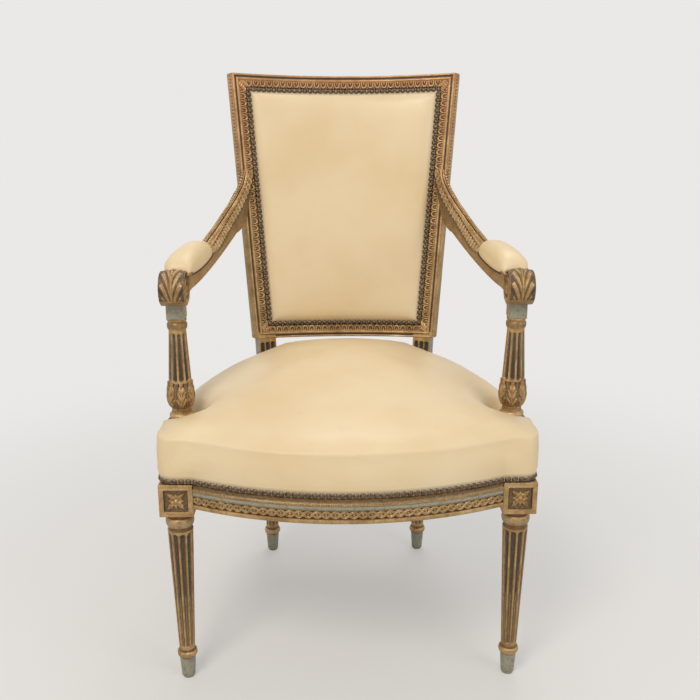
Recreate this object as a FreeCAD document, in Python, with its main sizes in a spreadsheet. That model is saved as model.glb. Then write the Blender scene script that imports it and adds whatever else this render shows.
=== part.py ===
import FreeCAD
import Part
import Sketcher
import math
import os

os.makedirs("parts", exist_ok=True)

# An open-arm chair with a bowed seat and a concave back, in millimetres.
# +X is the right-hand side of somebody who faces the chair, the front looks
# to -Y, +Z is up. The origin is on the floor under the middle of the chair.

doc = FreeCAD.newDocument("Fauteuil")
sheet = doc.addObject("Spreadsheet::Sheet", "sizes")

SIZES = [
    ("front_leg_span", 542, "between the axes of the front legs"),
    ("rear_leg_span", 314, "between the axes of the rear legs"),
    ("leg_base_depth", 436, "from the front axes to the rear axes"),
    ("front_leg_setback", 244.7, "from the origin forward to the front axes"),
    ("seat_rail_top", 375, "height of the top of the seat rails"),
    ("seat_rail_height", 54.5, "height of every seat rail"),
    ("front_rail_thickness", 28, "front to back"),
    ("side_rail_thickness", 30, "across"),
    ("rear_rail_thickness", 26, "front to back"),
    ("front_rail_bow", 57, "how far the front rail bows out of the blocks"),
    ("side_rail_bow", 36, "how far a side rail bows out of its chord"),
    ("side_rail_shift", 11, "side rail outside the front leg axis"),
    ("block_height", 68.4, "square block at the head of each leg"),
    ("front_block_width", 54, "square block of a front leg"),
    ("rear_block_width", 46, "square block of a rear leg"),
    ("panel_width", 36, "sunk square that holds the rosette"),
    ("panel_sink", 3, "depth of that square"),
    ("nail_strip_height", 14, "plain strip for the leather above the moulding"),
    ("nail_strip_inset", 3, "strip behind the face of the rail"),
    ("moulding_sink", 2, "hollow and painted band behind the rail's face"),
    ("moulding_hollow_top", 37.5, "top of the hollow above the rail's underside"),
    ("moulding_band_low", 17, "bottom of the painted band above the underside"),
    ("glide_height", 3, "steel disc under each foot"),
    ("glide_radius", 9, "of the disc"),
    ("glide_pin_radius", 1.5, "pin of the disc, driven into the foot"),
    ("glide_pin_length", 12, "length of that pin"),
    ("foot_low_radius", 11, "foot at the floor"),
    ("foot_top_radius", 13.3, "foot under its collar"),
    ("foot_height", 40, "height of the collar's underside"),
    ("collar_radius", 16, "round collar over the foot"),
    ("collar_height", 15, "height of the collar"),
    ("shaft_low_radius", 12.8, "fluted shaft over the collar"),
    ("shaft_top_radius", 20.5, "fluted shaft at its head"),
    ("head_hollow", 6, "hollow between shaft and ring"),
    ("head_ring_radius", 22.7, "ring under the block"),
    ("head_ring_height", 17, "height of that ring"),
    ("head_neck", 7.4, "neck between ring and block"),
    ("head_neck_radius", 18, "of the neck and the hollow"),
    ("flute_count", 10, "flutes round a shaft"),
    ("flute_low_radius", 3.1, "flute at the thin end of a leg"),
    ("flute_top_radius", 5, "flute at the thick end of a leg"),
    ("flute_lift", 0.8, "centre of a flute outside the shaft"),
    ("flute_margin", 9, "plain shaft beyond each end of a flute"),
    ("tenon_length", 20, "tenons of the seat rails"),
    ("tenon_thickness", 9, "of the same tenons"),
    ("tenon_height", 36, "of the same tenons"),
    ("tenon_offset", 13, "tenon inside the block's outer face"),
    ("joint_gap", 0.1, "glue gap round tenons, dowels and shanks"),
    ("stile_width", 36, "stile between seat and back frame"),
    ("stile_depth", 32, "the same, front to back"),
    ("stile_inset", 3.5, "stile inside the frame's outer corner"),
    ("frame_turn", 20, "degrees by which a stile faces the middle"),
    ("frame_recline", 7.64, "degrees by which the back leans"),
    ("frame_low_height", 475, "height of the frame's lower corner"),
    ("frame_length", 523, "height of the frame along its lean"),
    ("frame_low_half_width", 177.3, "outer front corner at the bottom"),
    ("frame_top_half_width", 218, "outer front corner at the top"),
    ("frame_low_depth", 433, "lower corner behind the front leg axes"),
    ("frame_width", 40, "frame member, seen from the front"),
    ("frame_depth", 38, "stiles and rails of the frame, front to back"),
    ("frame_fillet", 6, "outer fillet of the moulding"),
    ("frame_groove", 3, "width of the groove beside the fillet"),
    ("frame_groove_sink", 2, "depth of that groove"),
    ("frame_moulding", 25, "whole moulding from edge to rabbet"),
    ("rabbet_sink", 7, "rabbet for the leather behind the face"),
    ("frame_tenon_length", 22, "tenons of the frame's rails"),
    ("frame_tenon_thickness", 10, "of the same tenons"),
    ("frame_tenon_height", 24, "of the same tenons"),
    ("support_half_span", 278, "axis of an arm support from the middle"),
    ("support_depth", 105, "the same, behind the front leg axes"),
    ("support_shank_radius", 14, "plain shank inside the upholstery"),
    ("support_base_height", 419, "height of the round base"),
    ("support_base_radius", 24, "round base on the leather"),
    ("support_bulb_low", 445, "height of the narrow waist over the base"),
    ("support_waist_radius", 16, "of that waist"),
    ("support_bulb_radius", 23.3, "leaf-carved bulb at its widest"),
    ("support_bulb_top", 487, "height of the top of the bulb"),
    ("support_shaft_low_radius", 19, "fluted shaft over the bulb"),
    ("support_shaft_top_radius", 14, "fluted shaft at its head"),
    ("support_shaft_top", 580, "height of the head of the shaft"),
    ("support_ring_radius", 16.5, "ring over the shaft"),
    ("support_neck_low", 597, "height of the square neck's underside"),
    ("support_neck_width", 29, "square neck under the arm"),
    ("support_flute_low_radius", 4.6, "flute at the foot of the support"),
    ("support_flute_top_radius", 3.3, "flute at the head of the support"),
    ("dowel_radius", 7, "dowels at both ends of an arm support"),
    ("dowel_length", 24, "the part of a dowel outside the support"),
    ("arm_seat_height", 622, "flat underside of the arm over the neck"),
    ("arm_front_depth", 130, "arm behind its scroll, from the front axes"),
    ("arm_rear_depth", 455, "arm where it reaches the stile"),
    ("arm_run_on", 50, "arm carried on into the stile's side"),
    ("arm_front_half_span", 274, "middle of the arm at its front"),
    ("arm_rear_half_span", 211, "middle of the arm at the stile"),
    ("arm_front_top", 680, "top of the arm at its front"),
    ("arm_front_bottom", 642, "bottom of the arm at its front"),
    ("arm_top_rise", 86, "rise of the top on the way to the stile"),
    ("arm_bottom_rise", 67, "rise of the bottom on the way to the stile"),
    ("arm_front_width", 46, "width of the arm at its front"),
    ("arm_rear_width", 28, "width of the arm at the stile"),
    ("arm_rounding", 5, "rounded edges of the arm"),
    ("scroll_radius", 30, "scroll at the front end of the arm"),
    ("scroll_height", 651, "height of the scroll's axis"),
    ("scroll_depth", 88, "scroll's axis behind the front leg axes"),
    ("arm_dowel_radius", 4, "dowels between arm and stile"),
    ("arm_dowel_length", 26, "length of those dowels"),
    ("arm_dowel_start", 188, "inner ends of those dowels from the middle"),
    ("arm_dowel_depth", 484, "dowels behind the front leg axes"),
    ("arm_dowel_low", 736, "height of the lower dowel"),
    ("arm_dowel_pitch", 24, "between the two dowels"),
    ("pad_front_depth", 118, "arm pad behind the front leg axes"),
    ("pad_length", 126, "length of an arm pad"),
    ("pad_overhang", 3, "arm pad beyond the arm's sides"),
    ("pad_crown", 28, "arm pad over the arm"),
    ("pad_edge", 6, "upright edge of an arm pad"),
    ("welt_height", 2.5, "cord round the edge of an arm pad"),
    ("welt_width", 2.2, "thickness of that cord"),
    ("leather_thickness", 2, "every leather cover"),
    ("soft_gap", 0.3, "between soft layers and their neighbours"),
    ("notch_gap", 1, "leather round supports and stiles"),
    ("web_width", 50, "jute webbing"),
    ("web_thickness", 1.4, "jute webbing"),
    ("back_web_spacing", 70, "between the middles of the upright back webs"),
    ("back_web_margin", 6.5, "ends of the back webs inside the front edge of the rabbet"),
    ("seat_web_pitch", 78, "between the long seat webs"),
    ("seat_cross_pitch", 88, "between the cross seat webs"),
    ("web_landing", 15, "web ends behind the face of a rail"),
    ("hessian_thickness", 1, "hessian sheets"),
    ("seat_edge_height", 432, "top of the seat's upright edge"),
    ("seat_crown", 64, "crown of the seat over that edge"),
    ("seat_bulge", 4, "seat edge beyond the rails"),
    ("seat_corner", 24, "rounding of the seat's corners in plan"),
    ("corner_block_height", 30, "glued block in each corner"),
    ("corner_block_drop", 8, "corner block under the rail's top"),
    ("screw_radius", 2.5, "corner block screws"),
    ("screw_length", 46, "corner block screws"),
    ("screw_head_radius", 5.5, "corner block screws"),
    ("screw_head_height", 3, "corner block screws"),
    ("nail_radius", 5, "domed upholstery nails"),
    ("nail_dome", 3.2, "height of a nail's dome"),
    ("nail_shank_radius", 0.9, "shank of a nail"),
    ("nail_shank_length", 9, "shank of a nail"),
    ("nail_pitch", 10.4, "between the nails"),
    ("seat_nail_height", 367, "height of the seat's row of nails"),
    ("back_nail_inset", 30, "back's row of nails inside the frame's edge"),
    ("back_crown", 20, "crown of the back pad over its rabbet"),
    ("back_cover_inset", 26.5, "edge of the front leather inside the frame's edge"),
    ("back_pad_inset", 37, "edge of the back pad inside the frame's edge"),
    ("outside_cover_inset", 20, "edge of the rear leather inside the frame's edge"),
    ("back_web_count", 3, "webs each way in the back"),
]

for row, (name, value, meaning) in enumerate(SIZES, 1):
    sheet.set(f"A{row}", meaning)
    sheet.set(f"B{row}", str(value))
    sheet.setAlias(f"B{row}", name)
doc.recompute()


def size(name):
    """The number in the sheet's cell of that name."""
    return float(sheet.get(name))


def value_of(formula):
    """The number that a formula on the sheet's cells gives."""
    found = sheet.evalExpression(formula)
    return float(getattr(found, "Value", found))


def bind(thing, **formulas):
    """Tie properties to formulas; a double underscore stands for a dot."""
    for prop, formula in formulas.items():
        thing.setExpression(prop.replace("__", "."), formula)
    return thing


def vec(x, y, z=0.0):
    return FreeCAD.Vector(x, y, z)


# Helpers for sketches and features


def origin_plane(body, role):
    for item in body.Origin.OriginFeatures:
        if item.Role == role:
            return item
    raise ValueError(role)


def outline(body, name, role, corners, arcs=None, lift=None):
    """A closed outline on an origin plane. Every corner is held by two
    distances from the origin, bound to formulas. arcs gives the radius of an
    edge that leaves that corner: positive bulges to the right of travel."""
    arcs = arcs or {}
    sketch = body.newObject("Sketcher::SketchObject", name)
    sketch.AttachmentSupport = (origin_plane(body, role), [""])
    sketch.MapMode = "FlatFace"
    if lift:
        sketch.setExpression("AttachmentOffset.Base.z", lift)
    points = [vec(value_of(x), value_of(y)) for x, y in corners]
    count = len(points)
    starts = []
    for i, start in enumerate(points):
        end = points[(i + 1) % count]
        if i in arcs:
            radius = value_of(arcs[i])
            chord = end - start
            half = chord.Length / 2
            sag = abs(radius) - math.sqrt(max(radius * radius - half * half, 0))
            side = vec(chord.y, -chord.x) / chord.Length
            middle = (start + end) / 2 + side * math.copysign(sag, radius)
            sketch.addGeometry(Part.Arc(start, middle, end), False)
            forward = (sketch.Geometry[i].StartPoint - start).Length < 1e-6
            starts.append(1 if forward else 2)
        else:
            sketch.addGeometry(Part.LineSegment(start, end), False)
            starts.append(1)
    for i in range(count):
        follower = (i + 1) % count
        meet = Sketcher.Constraint("Coincident", i, 3 - starts[i], follower, starts[follower])
        sketch.addConstraint(meet)
    for i, (across, along) in enumerate(corners):
        held = (("DistanceX", across, -2, points[i].x), ("DistanceY", along, -1, points[i].y))
        for kind, formula, axis, start in held:
            if formula == "0":
                sketch.addConstraint(Sketcher.Constraint("PointOnObject", i, starts[i], axis))
            else:
                datum = Sketcher.Constraint(kind, -1, 1, i, starts[i], start)
                index = sketch.addConstraint(datum)
                sketch.setExpression(f"Constraints[{index}]", formula)
        if i in arcs:
            index = sketch.addConstraint(Sketcher.Constraint("Radius", i, abs(value_of(arcs[i]))))
            sketch.setExpression(f"Constraints[{index}]", f"abs({arcs[i]})")
    return sketch


def revolve(body, name, sketch, angle=None):
    """Turn an outline about its vertical axis, all round or evenly to both sides."""
    turned = body.newObject("PartDesign::Revolution", name)
    turned.Profile = sketch
    turned.ReferenceAxis = (sketch, ["V_Axis"])
    turned.Angle = 360
    if angle:
        turned.Midplane = True
        turned.setExpression("Angle", angle)
    return turned


def pad(body, name, sketch, length):
    raised = body.newObject("PartDesign::Pad", name)
    raised.Profile = sketch
    raised.setExpression("Length", length)
    return raised


def pocket(body, name, sketch, length, other_way=False):
    sunk = body.newObject("PartDesign::Pocket", name)
    sunk.Profile = sketch
    sunk.Reversed = other_way
    sunk.setExpression("Length", length)
    doc.recompute()
    if not sunk.Shape.Volume < sunk.BaseFeature.Shape.Volume - 1:
        raise ValueError(f"{name} cuts nothing")
    return sunk


def square(body, name, width, lift):
    """A square about the body's vertical axis at a height."""
    half = f"{width} / 2"
    less = f"-{width} / 2"
    corners = [(less, less), (half, less), (half, half), (less, half)]
    return outline(body, name, "XY_Plane", corners, lift=lift)


# Helpers for whole solids

def cut(name, base, tools):
    """What is left of a piece when others have taken their room."""
    if len(tools) > 1:
        tool = doc.addObject("Part::MultiFuse", f"{name}_room")
        tool.Shapes = tools
    else:
        tool = tools[0]
    left = doc.addObject("Part::Cut", name)
    left.Base = base
    left.Tool = tool
    return left


def fuse(name, pieces):
    whole = doc.addObject("Part::MultiFuse", name)
    whole.Shapes = pieces
    return whole


def group(name, pieces):
    """Separate solids that share one node."""
    held = doc.addObject("Part::Compound", name)
    held.Links = pieces
    return held


def mirror(name, piece):
    """The same piece on the other side of the chair."""
    other = doc.addObject("Part::Mirroring", name)
    other.Source = piece
    other.Base = vec(0, 0, 0)
    other.Normal = vec(1, 0, 0)
    return other


def box(name, x, y, z, length, width, height):
    """A box whose corner and sides are formulas."""
    made = doc.addObject("Part::Box", name)
    return bind(
        made,
        Length=length,
        Width=width,
        Height=height,
        Placement__Base__x=x,
        Placement__Base__y=y,
        Placement__Base__z=z,
    )


def shape(name, made):
    """A piece whose form is worked out below from the sheet's sizes."""
    held = doc.addObject("Part::Feature", name)
    held.Shape = made
    return held


def wire_through(stops):
    """A closed wire. Each stop is a point, and the point that the edge to the
    next stop curves through, or None for a straight edge."""
    edges = []
    for i, (start, via) in enumerate(stops):
        end = stops[(i + 1) % len(stops)][0]
        if via is None:
            edges.append(Part.LineSegment(start, end).toShape())
        else:
            edges.append(Part.Arc(start, via, end).toShape())
    return Part.Wire(edges)


def loft(wires, ruled=False):
    return Part.makeLoft(wires, True, ruled)


def blend(start, end, share):
    return start + (end - start) * share


# Places that several pieces share, as formulas

FRONT_Y = "(-sizes.front_leg_setback)"
REAR_Y = "(sizes.leg_base_depth - sizes.front_leg_setback)"
FRONT_X = "(sizes.front_leg_span / 2)"
REAR_X = "(sizes.rear_leg_span / 2)"
RAIL_LOW = "(sizes.seat_rail_top - sizes.seat_rail_height)"
BLOCK_LOW = "(sizes.seat_rail_top - sizes.block_height)"
STRIP_LOW = "(sizes.seat_rail_top - sizes.nail_strip_height)"
SHAFT_LOW = "(sizes.foot_height + sizes.collar_height)"
RING_LOW = f"({BLOCK_LOW} - sizes.head_neck - sizes.head_ring_height)"
SHAFT_TOP = f"({RING_LOW} - sizes.head_hollow)"
TENON_LOW = f"({RAIL_LOW} + (sizes.seat_rail_height - sizes.tenon_height) / 2 - 4)"

# The bowed front rail is part of a ring about a vertical axis.
REAR_RAIL_Y = f"({REAR_Y} + sizes.rear_block_width / 2 - 2 - sizes.rear_rail_thickness)"
BOW_HALF = f"({FRONT_X} - sizes.front_block_width / 2)"
BOW_RADIUS = f"(({BOW_HALF}^2 + sizes.front_rail_bow^2) / (2 * sizes.front_rail_bow))"
BOW_AXIS_Y = (
    f"({FRONT_Y} - sizes.front_block_width / 2 - sizes.front_rail_bow + {BOW_RADIUS})"
)

# So is each side rail, from the front block's rear face to the rear block's front face.
SIDE_X1 = f"({FRONT_X} + sizes.side_rail_shift)"
SIDE_Y1 = f"({FRONT_Y} + sizes.front_block_width / 2)"
SIDE_Y2 = f"({REAR_Y} - sizes.rear_block_width / 2)"
SIDE_CHORD = f"sqrt(({SIDE_X1} - {REAR_X})^2 + ({SIDE_Y2} - {SIDE_Y1})^2)"
SIDE_RADIUS = f"({SIDE_CHORD}^2 / (8 * sizes.side_rail_bow) + sizes.side_rail_bow / 2)"
SIDE_LEAN = f"atan(({SIDE_X1} - {REAR_X}) / ({SIDE_Y2} - {SIDE_Y1}))"
SIDE_AXIS_X = (
    f"(({SIDE_X1} + {REAR_X}) / 2 + (sizes.side_rail_bow - {SIDE_RADIUS}) * cos({SIDE_LEAN}))"
)
SIDE_AXIS_Y = (
    f"(({SIDE_Y1} + {SIDE_Y2}) / 2 + (sizes.side_rail_bow - {SIDE_RADIUS}) * sin({SIDE_LEAN}))"
)

bow_radius = value_of(BOW_RADIUS)
bow_axis_y = value_of(BOW_AXIS_Y)
side_radius = value_of(SIDE_RADIUS)
side_axis = vec(value_of(SIDE_AXIS_X), value_of(SIDE_AXIS_Y))
rail_top = size("seat_rail_top")


def front_face_y(x, inset=0.0):
    """The front rail's face, or a line inside it, at a distance from the middle."""
    return bow_axis_y - math.sqrt((bow_radius - inset) ** 2 - x * x)


def side_face_x(y, inset=0.0):
    """The side rail's outer face, or a line inside it, at a depth."""
    radius = side_radius + size("side_rail_thickness") / 2 - inset
    return side_axis.x + math.sqrt(radius * radius - (y - side_axis.y) ** 2)


# Legs


def leg_turning(body):
    """The turned part of a leg, from the glide to the block."""
    s = "sizes."
    corners = [
        ("0", s + "glide_height"),
        (s + "foot_low_radius", s + "glide_height"),
        (s + "foot_top_radius", s + "foot_height"),
        (s + "collar_radius", s + "foot_height + 3"),
        (s + "collar_radius", SHAFT_LOW + " - 3"),
        (s + "shaft_low_radius", SHAFT_LOW),
        (s + "shaft_top_radius", SHAFT_TOP),
        (s + "head_neck_radius", SHAFT_TOP + " + 2"),
        (s + "head_neck_radius", RING_LOW),
        (s + "head_ring_radius - 3", RING_LOW),
        (s + "head_ring_radius - 3", RING_LOW + " + sizes.head_ring_height"),
        (s + "head_neck_radius", RING_LOW + " + sizes.head_ring_height"),
        (s + "head_neck_radius", BLOCK_LOW),
        ("0", BLOCK_LOW),
    ]
    arcs = {
        3: s + "collar_height * 0.8",
        9: s + "head_ring_height * 0.6",
    }
    return outline(body, "turning", "XZ_Plane", corners, arcs)


def turned_leg(name, x, y):
    """Foot, collar, plain shaft and ring, about the leg's own axis."""
    body = doc.addObject("PartDesign::Body", name)
    bind(body, Placement__Base__x=x, Placement__Base__y=y)
    revolve(body, "Turning", leg_turning(body))
    return body


def flutes(name, x, y, low, top, low_radius, top_radius, low_flute, top_flute):
    """Round-ended flutes between two heights of a tapered shaft, one solid each:
    two half balls joined by a cone that lies along the shaft's side."""
    foot = value_of(low)
    head = value_of(top)
    thin = size(low_flute)
    thick = size(top_flute)
    margin = size("flute_margin")
    lift = size("flute_lift")
    share = margin / (head - foot)
    start = blend(size(low_radius), size(top_radius), share) + lift
    end = blend(size(low_radius), size(top_radius), 1 - share) + lift
    run = vec(end - start, 0, head - foot - 2 * margin)
    length = run.Length
    side = math.sqrt(0.5)
    profile = wire_through([
        (vec(0, 0, -thin), vec(thin * side, 0, -thin * side)),
        (vec(thin, 0, 0), None),
        (vec(thick, 0, length), vec(thick * side, 0, length + thick * side)),
        (vec(0, 0, length + thick), None),
    ])
    flute = Part.Face(profile).revolve(vec(0, 0, 0), vec(0, 0, 1), 360)
    flute.Placement = FreeCAD.Placement(
        vec(start, 0, foot + margin), FreeCAD.Rotation(vec(0, 0, 1), run)
    )
    count = int(size("flute_count"))
    middle = vec(value_of(x), value_of(y))
    cutters = []
    for i in range(count):
        turned = flute.copy()
        turned.rotate(vec(0, 0, 0), vec(0, 0, 1), 360 * i / count)
        turned.translate(middle)
        cutters.append(turned)
    return shape(name, Part.makeCompound(cutters))


def leg_flutes(name, x, y):
    return flutes(
        name, x, y, SHAFT_LOW, SHAFT_TOP, "shaft_low_radius", "shaft_top_radius",
        "flute_low_radius", "flute_top_radius",
    )


def front_leg():
    """Turned leg with its block; two faces carry the sunk rosette squares."""
    body = turned_leg("front_leg_body", FRONT_X, FRONT_Y)
    block = square(body, "block_plan", "sizes.front_block_width", BLOCK_LOW)
    pad(body, "Block", block, f"{STRIP_LOW} - {BLOCK_LOW}")
    full = "sizes.front_block_width / 2"
    step = f"({full} - sizes.nail_strip_inset)"
    curve = f"({step} - sizes.seat_corner)"
    edges = [
        ("-" + full, "-" + step), (curve, "-" + step), (step, "-" + curve), (step, full),
        ("-" + full, full),
    ]
    strip = outline(
        body, "strip_plan", "XY_Plane", edges, {1: "sizes.seat_corner"}, lift=STRIP_LOW
    )
    pad(body, "NailStrip", strip, "sizes.nail_strip_height")
    doc.recompute()
    half = "sizes.panel_width / 2"
    middle = f"({BLOCK_LOW} + ({STRIP_LOW} - {BLOCK_LOW}) / 2)"
    low = f"{middle} - {half}"
    high = f"{middle} + {half}"
    face = "(sizes.front_block_width / 2)"
    front = [("-" + half, low), (half, low), (half, high), ("-" + half, high)]
    sketch = outline(body, "front_panel", "XZ_Plane", front, lift=face + " - sizes.panel_sink")
    pocket(body, "FrontPanel", sketch, "sizes.panel_sink + 1", True)
    sketch = outline(body, "side_panel", "YZ_Plane", front, lift=face + " - sizes.panel_sink")
    pocket(body, "SidePanel", sketch, "sizes.panel_sink + 1", True)
    return body


def stile_corner(across, back, x, y):
    """A point of a stile's section: across runs from the frame's outer front
    corner towards the middle along the face, back runs behind the face."""
    turn = "sizes.frame_turn"
    return (
        f"{x} - ({across}) * cos({turn}) + ({back}) * sin({turn})",
        f"{y} + ({across}) * sin({turn}) + ({back}) * cos({turn})",
    )


def rear_leg():
    """Turned leg, block and the plain stile that rises to the back frame."""
    body = turned_leg("rear_leg_body", REAR_X, REAR_Y)
    block = square(body, "block_plan", "sizes.rear_block_width", BLOCK_LOW)
    pad(body, "Block", block, "sizes.block_height")
    inset = "sizes.stile_inset"
    wide = f"({inset} + sizes.stile_width)"
    deep = "(1 + sizes.stile_depth)"
    edges = [(inset, "1"), (wide, "1"), (wide, deep), (inset, deep)]
    rise = 12
    splay = "(sizes.frame_top_half_width - sizes.frame_low_half_width) / sizes.frame_length"
    frame_x = f"(sizes.frame_low_half_width + {rise} * {splay} - {REAR_X})"
    frame_y = "(sizes.frame_low_depth - sizes.leg_base_depth)"
    lean = "tan(sizes.frame_recline)"
    top = [stile_corner(a, b, frame_x, f"({frame_y} + {rise} * {lean})") for a, b in edges]
    middle = f"({inset} + sizes.stile_width / 2)"
    back = "(1 + sizes.stile_depth / 2)"
    foot_x = f"({middle} * cos(sizes.frame_turn) - {back} * sin(sizes.frame_turn))"
    foot_y = f"(3 - {middle} * sin(sizes.frame_turn) - {back} * cos(sizes.frame_turn))"
    foot = [stile_corner(a, b, foot_x, foot_y) for a, b in edges]
    low = outline(body, "stile_foot", "XY_Plane", foot, lift="sizes.seat_rail_top - 4")
    high = outline(body, "stile_head", "XY_Plane", top, lift=f"sizes.frame_low_height + {rise}")
    doc.recompute()
    stile = body.newObject("PartDesign::AdditiveLoft", "Stile")
    stile.Profile = low
    stile.Sections = [high]
    stile.Ruled = True
    return body


def lean_with_the_back(thing, along="0"):
    """Stand a piece in the back's own frame: its origin is the middle of the
    line between the frame's two lower corners, and its z axis leans back."""
    thing.Placement = FreeCAD.Placement(vec(0, 0, 1), FreeCAD.Rotation(vec(-1, 0, 0), 5))
    return bind(
        thing,
        Placement__Base__y=(
            "sizes.frame_low_depth - sizes.front_leg_setback"
            f" + ({along}) * cos(sizes.frame_recline)"
        ),
        Placement__Base__z=f"sizes.frame_low_height - ({along}) * sin(sizes.frame_recline)",
        Placement__Rotation__Angle="sizes.frame_recline",
    )


def frame_stile():
    """The moulded stile of the back frame, from its lower to its upper corner."""
    body = doc.addObject("PartDesign::Body", "frame_stile_body")
    fillet = "sizes.frame_fillet"
    groove = "(sizes.frame_fillet + sizes.frame_groove)"
    edges = [
        ("0", "0"),
        (fillet, "0"),
        (fillet, "sizes.frame_groove_sink"),
        (groove, "sizes.frame_groove_sink"),
        (groove, "0"),
        ("sizes.frame_width", "0"),
        ("sizes.frame_width", "sizes.frame_depth"),
        ("0", "sizes.frame_depth"),
    ]
    low = [stile_corner(a, b, "sizes.frame_low_half_width", "0") for a, b in edges]
    top = [stile_corner(a, b, "sizes.frame_top_half_width", "0") for a, b in edges]
    low_plan = outline(body, "low_section", "XY_Plane", low)
    top_plan = outline(body, "top_section", "XY_Plane", top, lift="sizes.frame_length")
    doc.recompute()
    loft = body.newObject("PartDesign::AdditiveLoft", "Moulding")
    loft.Profile = low_plan
    loft.Sections = [top_plan]
    loft.Ruled = True
    return lean_with_the_back(body)


def frame_rail_radius(half_width):
    """Radius of a rail's face, square to both stile faces at their middles."""
    middle = f"({half_width} - sizes.frame_width / 2 * cos(sizes.frame_turn))"
    return f"({middle} / sin(sizes.frame_turn))"


FACE_SHIFT = "(sizes.frame_width / 2 * sin(sizes.frame_turn))"


def frame_rail(name, half_width, low, upside_down, tenon=False, gap="0"):
    """A rail of the back frame as part of a ring; its moulding follows the
    frame's outer edge. tenon gives the plain ring inside it instead."""
    radius = frame_rail_radius(half_width)
    body = doc.addObject("PartDesign::Body", name)
    tall = "sizes.frame_width"
    if tenon:
        near = f"({radius} + (sizes.frame_depth - sizes.frame_tenon_thickness) / 2 - {gap})"
        far = f"({near} + sizes.frame_tenon_thickness + 2 * {gap})"
        bottom = f"({low} + ({tall} - sizes.frame_tenon_height) / 2 - {gap})"
        top = f"({bottom} + sizes.frame_tenon_height + 2 * {gap})"
        edges = [(near, bottom), (far, bottom), (far, top), (near, top)]
        reach = f"(sizes.frame_tenon_length - sizes.frame_width / 2 + {gap})"
    else:
        steps = [
            ("0", "0"),
            ("sizes.frame_fillet", "0"),
            ("sizes.frame_fillet", "sizes.frame_groove_sink"),
            ("sizes.frame_fillet + sizes.frame_groove", "sizes.frame_groove_sink"),
            ("sizes.frame_fillet + sizes.frame_groove", "0"),
            ("sizes.frame_moulding", "0"),
            ("sizes.frame_moulding", "sizes.rabbet_sink"),
            (tall, "sizes.rabbet_sink"),
            (tall, "sizes.frame_depth"),
            ("0", "sizes.frame_depth"),
        ]
        edges = []
        for up, back in steps:
            height = f"{low} + {tall} - ({up})" if upside_down else f"{low} + {up}"
            edges.append((f"{radius} + {back}", height))
        reach = "0"
    profile = outline(body, name + "_section", "YZ_Plane", edges)
    spread = f"2 * (sizes.frame_turn * 1 deg + asin({reach} / {radius}))"
    revolve(body, name + "_ring", profile, spread)
    axis = f"{FACE_SHIFT} - {radius} * cos(sizes.frame_turn)"
    return lean_with_the_back(body, axis)


def mortise(name, x, y, length, width):
    """Room for a seat rail's tenon, a glue gap larger all round."""
    gap = "sizes.joint_gap"
    return box(
        name, f"{x} - {gap}", f"{y} - {gap}", f"{TENON_LOW} - {gap}",
        f"{length} + 2 * {gap}", f"{width} + 2 * {gap}", f"sizes.tenon_height + 2 * {gap}",
    )


def tenon(name, x, y, length, width):
    return box(name, x, y, TENON_LOW, length, width, "sizes.tenon_height")


# Seat rails


def front_rail_ring():
    """The front rail's moulded section turned about the bow's axis."""
    body = doc.addObject("PartDesign::Body", "front_rail_body")
    r = BOW_RADIUS
    sunk = f"{r} - sizes.moulding_sink"
    strip = f"{r} - sizes.nail_strip_inset"
    inner = f"{r} - sizes.front_rail_thickness"
    edges = [
        (r, RAIL_LOW),
        (r, f"{RAIL_LOW} + 5"),
        (f"{r} - 0.8", f"{RAIL_LOW} + 5.5"),
        (f"{r} - 0.8", f"{RAIL_LOW} + sizes.moulding_band_low"),
        (sunk, f"{RAIL_LOW} + sizes.moulding_band_low"),
        (sunk, f"{RAIL_LOW} + sizes.moulding_hollow_top - 6"),
        (r, f"{RAIL_LOW} + sizes.moulding_hollow_top"),
        (r, STRIP_LOW),
        (strip, STRIP_LOW),
        (strip, "sizes.seat_rail_top"),
        (inner, "sizes.seat_rail_top"),
        (inner, RAIL_LOW),
    ]
    profile = outline(body, "front_rail_section", "XZ_Plane", edges)
    reach = f"asin(({BOW_HALF} + sizes.front_block_width / 4) / {r})"
    revolve(body, "front_rail_turning", profile, f"2 * {reach}")
    body.Placement = FreeCAD.Placement(vec(0, 1, 0), FreeCAD.Rotation(vec(0, 0, 1), -90))
    return bind(body, Placement__Base__y=BOW_AXIS_Y)


def side_rail_ring():
    """The side rail's section turned about its own axis, run into both blocks."""
    body = doc.addObject("PartDesign::Body", "side_rail_body")
    r = f"({SIDE_RADIUS} + sizes.side_rail_thickness / 2)"
    sunk = f"{r} - sizes.moulding_sink"
    strip = f"{r} - sizes.nail_strip_inset"
    inner = f"{r} - sizes.side_rail_thickness"
    edges = [
        (r, RAIL_LOW),
        (r, f"{RAIL_LOW} + 5"),
        (f"{r} - 0.8", f"{RAIL_LOW} + 5.5"),
        (f"{r} - 0.8", f"{RAIL_LOW} + sizes.moulding_band_low"),
        (sunk, f"{RAIL_LOW} + sizes.moulding_band_low"),
        (sunk, f"{RAIL_LOW} + sizes.moulding_hollow_top - 6"),
        (r, f"{RAIL_LOW} + sizes.moulding_hollow_top"),
        (r, STRIP_LOW),
        (strip, STRIP_LOW),
        (strip, "sizes.seat_rail_top"),
        (inner, "sizes.seat_rail_top"),
        (inner, RAIL_LOW),
    ]
    profile = outline(body, "side_rail_section", "XZ_Plane", edges)
    reach = f"asin(({SIDE_CHORD} / 2 + sizes.rear_block_width / 4) / {SIDE_RADIUS})"
    revolve(body, "side_rail_turning", profile, f"2 * {reach}")
    body.Placement = FreeCAD.Placement(vec(1, 1, 0), FreeCAD.Rotation(vec(0, 0, 1), 18))
    return bind(
        body,
        Placement__Base__x=SIDE_AXIS_X,
        Placement__Base__y=SIDE_AXIS_Y,
        Placement__Rotation__Angle=SIDE_LEAN,
    )


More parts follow.
